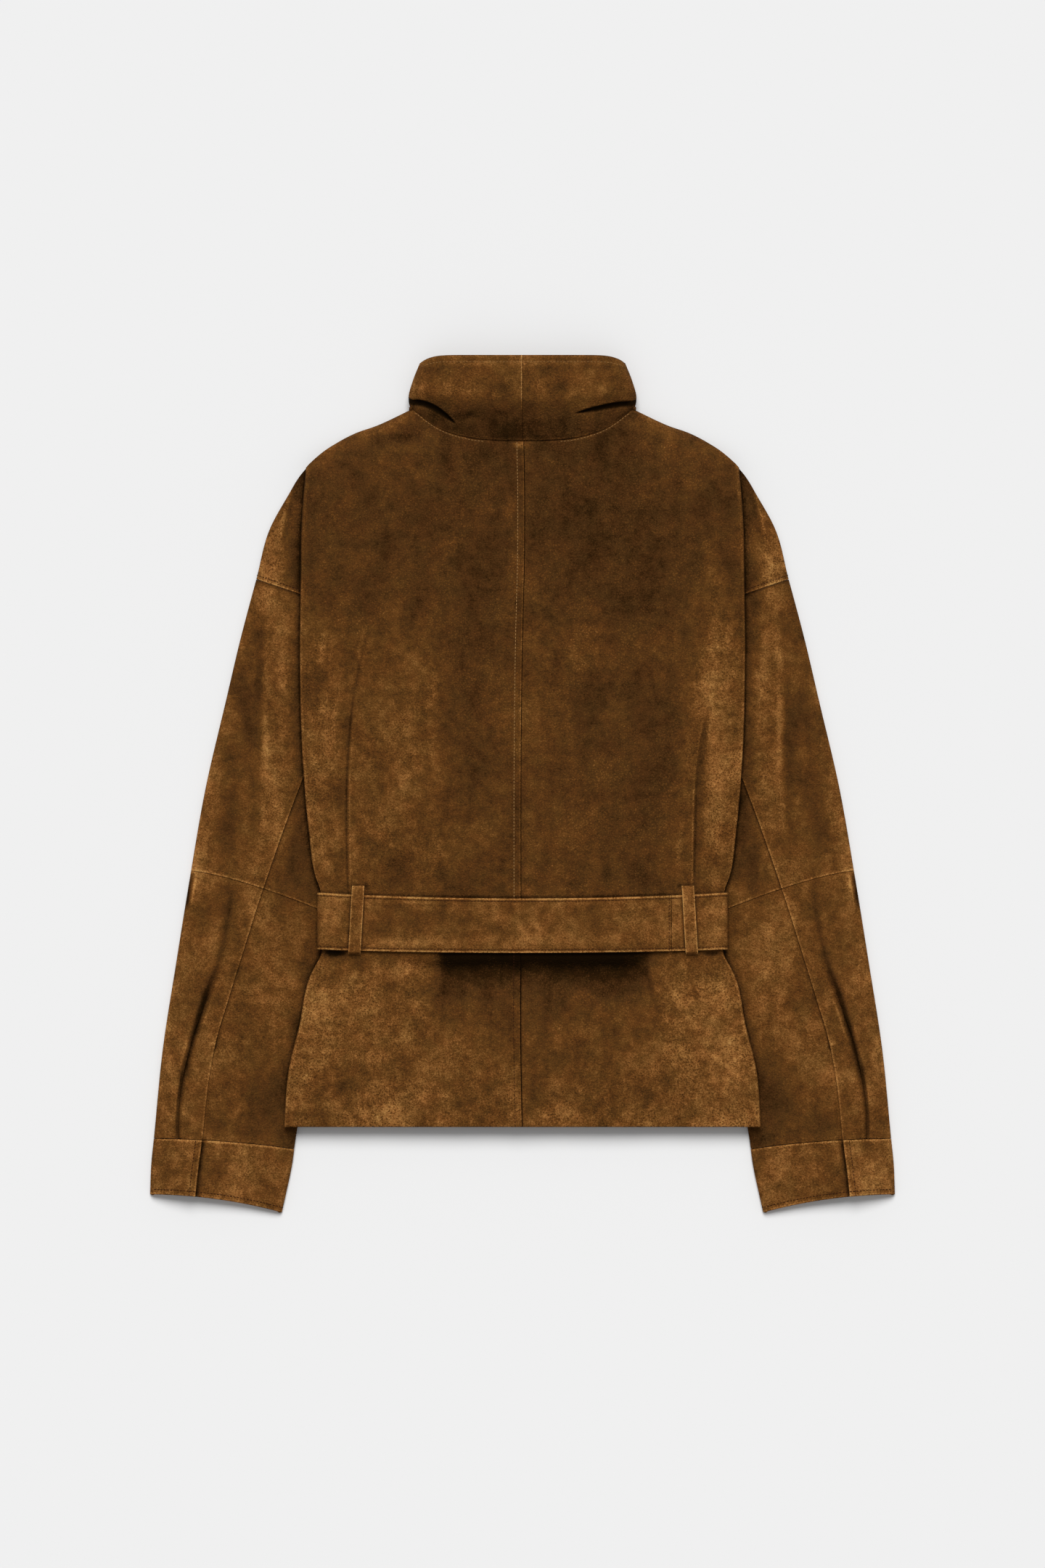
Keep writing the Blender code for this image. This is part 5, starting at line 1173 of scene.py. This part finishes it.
def seam_allowance(back):
    """The allowance of the centre seam, which lies inside the collar, across the seam."""
    x = np.array([-3.0, -1.0, 1.0, 4.0, 7.0])
    return grid(x, back[:, :1, 1], back[:, :1, 2] - DOUBLE - 0.5, 0.2)


suede_collar = suede("suede_collar", 0.7)
for side, word in SIDES:
    sheet, back = collar_half(side)
    rim(sheet, 0, dip=0.7, wide=1.0, worn=0.3 * (sheet[0, :, 0] < 88.0))
    rim(sheet, 0, last=True, dip=1.0, wide=1.6, worn=0.25)
    rim(sheet, 1, dip=0.3, wide=0.6, worn=0.9 * (side < 0) * ease((sheet[:, :1, 1] - 328.0) / 20.0))
    sheets = [sheet, seam_allowance(back)] if side < 0 else [sheet]
    piece = cloth("collar_half_" + word, "collar_" + word, sheets, side, DOUBLE, suede_collar)
    top = inset_line(back[::-1].transpose(1, 0, 2), COLLAR_STITCH)
    rows = [stitches("collar_top_stitches_" + word, [top], side, thread_tan, thick=0.4, sunk=0.1)]
    if side < 0:
        centre = inset_line(back[back[:, 0, 1] > COLLAR_SEAM_Y], 1.0)
        rows.append(stitches("collar_centre_stitches", [centre], side, thread_tan, thick=0.5))

# Belt: 50 mm wide, two layers of suede stitched along both edges, in two lengths with a cross seam behind
# the right loop. It sags a little, rounds the sides, runs under the fronts and closes in the buckle.

BELT_WIDE = 50.0
BELT_MID_Y = -122.6
BELT_LOW_Y, BELT_TOP_Y = -151.0, -102.3  # its edges at the middle
BELT_LOW_SAG, BELT_TOP_SAG = 3.0, 5.1  # how much higher they are at the sides
BELT_SIDE_X = 184.0
BELT_JOIN_X = 133.0
BELT_GAP = 0.5  # between the back and the belt
BELT_STITCH = 2.7  # how far in from its edges the belt is stitched
STRAP_OVER = DOUBLE + 0.4  # height of the buckle's length where it lies over the tip
PRESS_FOLD = ((-120, -131, -40, -133.5, 30, -133, 2.5, -0.3),)
LONG_FRONT = (  # x, height of the long length under the front, to its tip beyond the buckle
    (-60, 0), (-36, 0), (-28, 3.4), (-15, 3.4), (-6, 0.9), (2, 0), (40, 0), (95, 0),
)
SHORT_FRONT = (  # x, height of the short length, over the tip to the buckle's bar
    (108, 0), (98, STRAP_OVER), (60, STRAP_OVER), (36, STRAP_OVER), (26, 6.4), (14.5, 6.4),
)
BELT_SPOTS = (
    (-157, -124, 13, 11, 0.06), (-89, -118, 15, 9, -0.05), (-99, -127, 9, 6, -0.1), (-52, -122, 9, 6, -0.06),
    (-131, -131, 6, 3, -0.08), (2, -114, 16, 12, -0.06), (64, -114, 14, 10, -0.05),
    (120, -128, 14, 14, -0.04), (-95, -120, 40, 12, -0.12), (-150, -112, 30, 14, 0.06),
    (25, -112, 18, 12, -0.06), (178, -123, 16, 30, 0.06), (-172, -120, 14, 30, 0.07),
    (-100, -142, 60, 4, 0.06), (40, -125, 40, 14, -0.02),
)
# Painted shadows on the belt along each loop's sides, and painted light and shade along its creases
BELT_STREAKS_AND_SHADING = (
    (141.8, -88, 143.6, -122, 145.8, -160, 1.1, -0.28), (153.6, -88, 155.6, -122, 157.6, -160, 1.1, -0.28),
    (-141, -88, -142.6, -122, -144.7, -160, 1.1, -0.28),
    (-152.6, -88, -154.7, -122, -156.5, -160, 1.1, -0.28), (-142, -107.6, -98, -108.4, -50, -107, 1.3, -0.07),
    (-130, -105.6, -100, -106.2, -66, -105.4, 0.9, 0.07), (-140, -139.5, -84, -140.5, -26, -138.5, 3, 0.07),
    (-30, -128, 20, -131, 70, -126, 2.2, -0.05), (20, -109, 60, -110, 100, -108, 1.6, -0.05),
    (-60, -108, -20, -110, 14, -108, 1.6, -0.04), (-10, -141, 50, -141.5, 110, -141, 1.6, 0.05),
    (-150, -126, -120, -124, -96, -127, 2.2, -0.04), (-120, -131, -40, -133.5, 30, -133, 2, -0.05),
    (-20, -116, 40, -117.5, 110, -116, 1.8, -0.04), (-140, -112, -90, -115, -50, -116, 1.6, -0.03),
)


def belt_y(x, share):
    """Y across the belt, from its lower edge at 0 to its upper edge at 1. It sags at the middle."""
    low = BELT_LOW_Y + BELT_LOW_SAG * (x / BELT_SIDE_X) ** 2
    return low + share * (BELT_TOP_Y + BELT_TOP_SAG * (x / BELT_SIDE_X) ** 2 - low)


def belt_back_z(x):
    """Outer face of the belt across the back."""
    side = along(BODY_SIDE, BELT_MID_Y)
    return along(BACK_HEIGHT, -98.0) * (1.0 - CROWN * (x / side) ** 2) + BELT_GAP + DOUBLE


def belt_side(across):
    """x and height of the outer face round one side: over the roll, under the flap, down to the surface."""
    reach = along(BODY_SIDE, BELT_MID_Y) + 1.3 + DOUBLE
    y = belt_y(reach, across)
    top, bottom = belt_back_z(reach - 9.0), over_arm(reach - 9.0, y)
    radius = (top - bottom) / 2.0
    turn = np.radians(spaced(90.0, (-90.0, 10.0)))
    round_x, round_z = reach - radius + radius * np.cos(turn), bottom + radius + radius * np.sin(turn)
    foot = along(ARM, y, 2)
    under_x = foot + np.linspace(1.0, 0.0, 18)[1:] * (reach - radius - foot)
    flat_x = np.hstack([under_x, foot - 1.4 * shares(13) * RAMP])
    return np.hstack([round_x, flat_x]), np.hstack([round_z, over_arm(flat_x, y)])


def belt_strip(side, back_x, front):
    """One length of the belt: its run across the back, its way round one side, its run under the front."""
    across = spaced(0.0, (1.2, 0.4), (2.0, 0.4), (3.2, 0.3), (46.8, 2.0), (48.0, 0.3), (BELT_WIDE, 0.4))
    across = across[:, None] / BELT_WIDE
    back_x = back_x + 0.0 * across
    turns, heights = np.array(front, dtype=float).T
    front_x = np.interp(np.arange(7 * (len(turns) - 1) + 1) / 7.0, np.arange(len(turns)), turns)
    order = np.argsort(turns * side)
    front_z = np.interp(front_x * side, (turns * side)[order], heights[order])
    side_x, side_z = belt_side(across)
    x = np.hstack([back_x, side * side_x, front_x + 0.0 * across])
    z = np.hstack([belt_back_z(back_x), side_z, front_z + 0.0 * across])
    straight = along(BODY_SIDE, BELT_MID_Y) + 4.0
    column = np.arange(x.shape[1])
    y = belt_y(np.where(column < back_x.shape[1], x, straight), across)
    edge = BELT_WIDE * np.minimum(across, 1.0 - across)
    groove = bell((edge - BELT_STITCH) / 0.5)
    press = soft_lines(x, y, PRESS_FOLD) + 0.15 * uneven(x, y, 40.0, 8)
    shape = 0.35 * ease(edge / 2.2) - 0.35 - 0.22 * groove + press * ease(edge / 8.0)
    z = z + shape * (column < back_x.shape[1] + 9)
    tone = 0.625 + soft_spots(x, y, BELT_SPOTS) + soft_lines(x, y, BELT_STREAKS_AND_SHADING) - 0.14 * groove
    return grid(x, y, z, tone, 0.9 * bell((edge - 0.8) / 0.6))


suede_belt = suede("suede_belt", 0.4)
long_x = spaced(BELT_JOIN_X - SEAM / 2.0, (BELT_JOIN_X - 2.0, 0.5), (-138.0, 2.5), (-160.0, 0.6),
                (-165.0, 2.5))
short_x = spaced(BELT_JOIN_X + SEAM / 2.0, (BELT_JOIN_X + 2.0, 0.5), (138.0, 1.5), (160.0, 0.6),
                 (165.0, 2.5))
for side, kind, back_x, front, flat in (
    (-1, "long", long_x, LONG_FRONT, (0.6, 0.05)),
    (1, "short", short_x, SHORT_FRONT, (0.23, 0.05)),
):
    sheet = belt_strip(side, back_x, front)
    rim(sheet, 1, dip=0.5)
    strap = cloth(kind + "_belt", "belt_" + kind, [sheet], 1, DOUBLE, suede_belt, flip=side < 0)
    seen = sheet[:, : len(back_x) + 8]
    lines = [inset_line(edge.transpose(1, 0, 2), BELT_STITCH) for edge in (seen, seen[::-1])]
    if side < 0:
        lines.append(inset_line(seen, 1.8))
    rows = [stitches(kind + "_belt_stitches", lines, 1, thread_dark, thick=0.8)]

# Belt loops: strips 11 mm wide, turned at both ends and sewn to the back above and below the belt.

LOOP_WIDTH, LOOP_WALL = 11.0, 1.5
LOOP_FOOT_Y, LOOP_TOP_Y = -152.4, -90.9
LOOP_ROWS = (  # y, share of the height from the back up to over the belt
    (LOOP_FOOT_Y, 0), (-151.5, 0.5), (-150.4, 1), (-148, 1), (-124, 1), (-99, 1), (-94.5, 1), (-92.7, 0.5),
    (LOOP_TOP_Y, 0),
)
for side, word, top_x, bottom_x in ((-1, "left", 146.8, 150.5), (1, "right", 147.7, 151.6)):
    y = spaced(LOOP_FOOT_Y, (-147.0, 0.5), (-96.0, 1.8), (LOOP_TOP_Y, 0.6))[:, None]
    over = np.interp(y, *np.array(LOOP_ROWS).T)
    middle = bottom_x + (top_x - bottom_x) * (y + 154.5) / 65.0
    out = spaced(-0.5, (-0.38, 0.03), (0.38, 0.08), (0.5, 0.03))
    low, high = back_top(top_x + 0.0 * y, y) + 0.35 + LOOP_WALL, belt_back_z(top_x) + 0.4 + LOOP_WALL
    from_side = 0.5 - np.abs(out)
    z = low + over * (high - low) - 0.4 * (1.0 - ease(from_side / 0.12))
    sheet = grid(middle + LOOP_WIDTH * out, y, z, 0.67, 1.1 * bell(from_side / 0.08))
    loop = cloth("loop_" + word, "belt_loop_" + word, [sheet], side, LOOP_WALL, suede_belt)

# Buckle: a plain frame of antique brass with rounded edges. It tilts, as the belt passes over one bar and
# under the other. It is hidden under the fronts.

BUCKLE_LENGTH, BUCKLE_HEIGHT = 46.0, 63.0
BUCKLE_BAR, BUCKLE_PLATE = 5.0, 2.6
BUCKLE_RISE = 2.9  # how much higher one bar lies than the other
BUCKLE_TURNS, BAR_TURNS = 192, 24  # points round the frame and round its bar


def frame_point(angle, turn):
    """A rounded rectangle path, swept by an oval section: the path's angle and the section's."""
    cos, sin = np.cos(angle), np.sin(angle)
    size = (np.abs(cos) ** 10 + np.abs(sin) ** 10) ** -0.1
    half_x, half_y = (BUCKLE_LENGTH - BUCKLE_BAR) / 2.0, (BUCKLE_HEIGHT - BUCKLE_BAR) / 2.0
    flat = (np.cos(turn) ** 4 + np.sin(turn) ** 4) ** -0.25
    out = 0.5 * BUCKLE_BAR * np.cos(turn) * flat
    x, y = size * cos * (half_x + out), size * sin * (half_y + out)
    return x, y, 0.5 * BUCKLE_PLATE * np.sin(turn) * flat


number = np.arange(BUCKLE_TURNS)[:, None] * BAR_TURNS + np.arange(BAR_TURNS)
around, over = np.arange(BUCKLE_TURNS)[:, None] / BUCKLE_TURNS, np.arange(BAR_TURNS) / BAR_TURNS
x, y, z = frame_point(2.0 * np.pi * around, 2.0 * np.pi * over)
tilt = np.arcsin(BUCKLE_RISE / (BUCKLE_LENGTH - BUCKLE_BAR))
lift = BUCKLE_LENGTH / 2.0 * np.sin(tilt) + BUCKLE_PLATE / 2.0 * np.cos(tilt)
turned_x, turned_z = x * np.cos(tilt) - z * np.sin(tilt), x * np.sin(tilt) + z * np.cos(tilt)
points = np.stack([turned_x, y + BELT_MID_Y, turned_z + lift], axis=-1)
onward, outward = np.roll(number, -1, axis=0), np.roll(number, -1, axis=1)
faces = np.stack([number, onward, np.roll(onward, -1, axis=1), outward], axis=-1).reshape(-1, 4)
mesh = bpy.data.meshes.new("buckle_frame")
mesh.from_pydata(points.reshape(-1, 3) * MM, [], faces)
mesh.shade_smooth()

# Old brass: bright where it is rubbed and dull in clouds a few millimetres across, so it gleams unevenly
brass = bpy.data.materials.new("antique_brass")
tree = emptied(brass)
at = add(tree, "TexCoord", "Object")
wear = add(tree, "TexNoise", "Fac", at, Scale=scale_of(6.25), Detail=5.0)
dull = add(tree, "ValToRGB", "Color", wear)
for stop, colour in zip(dull[0].color_ramp.elements, ("#6d5a38", "#b79a62")):
    stop.color = linear(colour)
shader = add(tree, "BsdfPrincipled", "BSDF", dull, Metallic=1.0, Roughness=0.38)
add(tree, "OutputMaterial", "", shader)
mesh.materials.append(brass)
buckle = placed("buckle_frame", mesh)
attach(buckle, "root")
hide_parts("belt_buckle")

# The surface: a pale matt table. A broad lamp stands past the collar, so that only the hem and the cuffs
# throw a soft shadow. A flat face that sees all of the light gets pi, and shows its own colour.

AMBIENT = 0.34
SUN_HEIGHT = 52.0  # degrees above the surface
SUN_SIZE = 38.0  # degrees across
pale = linear("#f0f0f0")
bpy.ops.mesh.primitive_plane_add(size=40.0, location=(0.0, 0.0, 0.0))
floor = bpy.context.object
floor.name = "surface"
matt = bpy.data.materials.new("surface")
tree = emptied(matt)
diffuse = add(tree, "BsdfDiffuse", "BSDF", pale)
add(tree, "OutputMaterial", "", diffuse)
floor.data.materials.append(matt)

sun = placed("lamp", bpy.data.lights.new("lamp", "SUN"))
sun.data.energy = np.pi * (1.0 - AMBIENT) / np.sin(np.radians(SUN_HEIGHT))
sun.data.angle = np.radians(SUN_SIZE)
sun.rotation_euler = (-np.radians(90.0 - SUN_HEIGHT), 0.0, 0.0)

world = bpy.data.worlds.new("room")
bpy.context.scene.world = world
tree = emptied(world)
path, camera_ray = add(tree, "LightPath", "Is Camera Ray")
seen = add(tree, "Math", "Value", (path, camera_ray), (path, "Is Transmission Ray"), operation="MAXIMUM")
room = add(tree, "Background", "Background", (1.0, 1.0, 1.0, 1.0), AMBIENT)
behind = add(tree, "Background", "Background", pale, 1.0)
both = add(tree, "MixShader", "Shader", seen, room, behind)
add(tree, "OutputWorld", "", both)

# The camera looks straight down on the jacket.

CAMERA_HEIGHT, VIEW_HEIGHT = 12.0, 1.404  # metres: above the surface, and how much of it the picture shows
SENSOR = 36.0
camera = placed("camera", bpy.data.cameras.new("camera"))
camera.data.sensor_fit = "VERTICAL"
camera.data.sensor_height = SENSOR
camera.data.lens = SENSOR * CAMERA_HEIGHT / VIEW_HEIGHT
camera.data.clip_start, camera.data.clip_end = 0.1, 100.0
camera.location = (0.0, 0.0, CAMERA_HEIGHT)
bpy.context.scene.camera = camera
bpy.context.scene.view_settings.view_transform = "Standard"
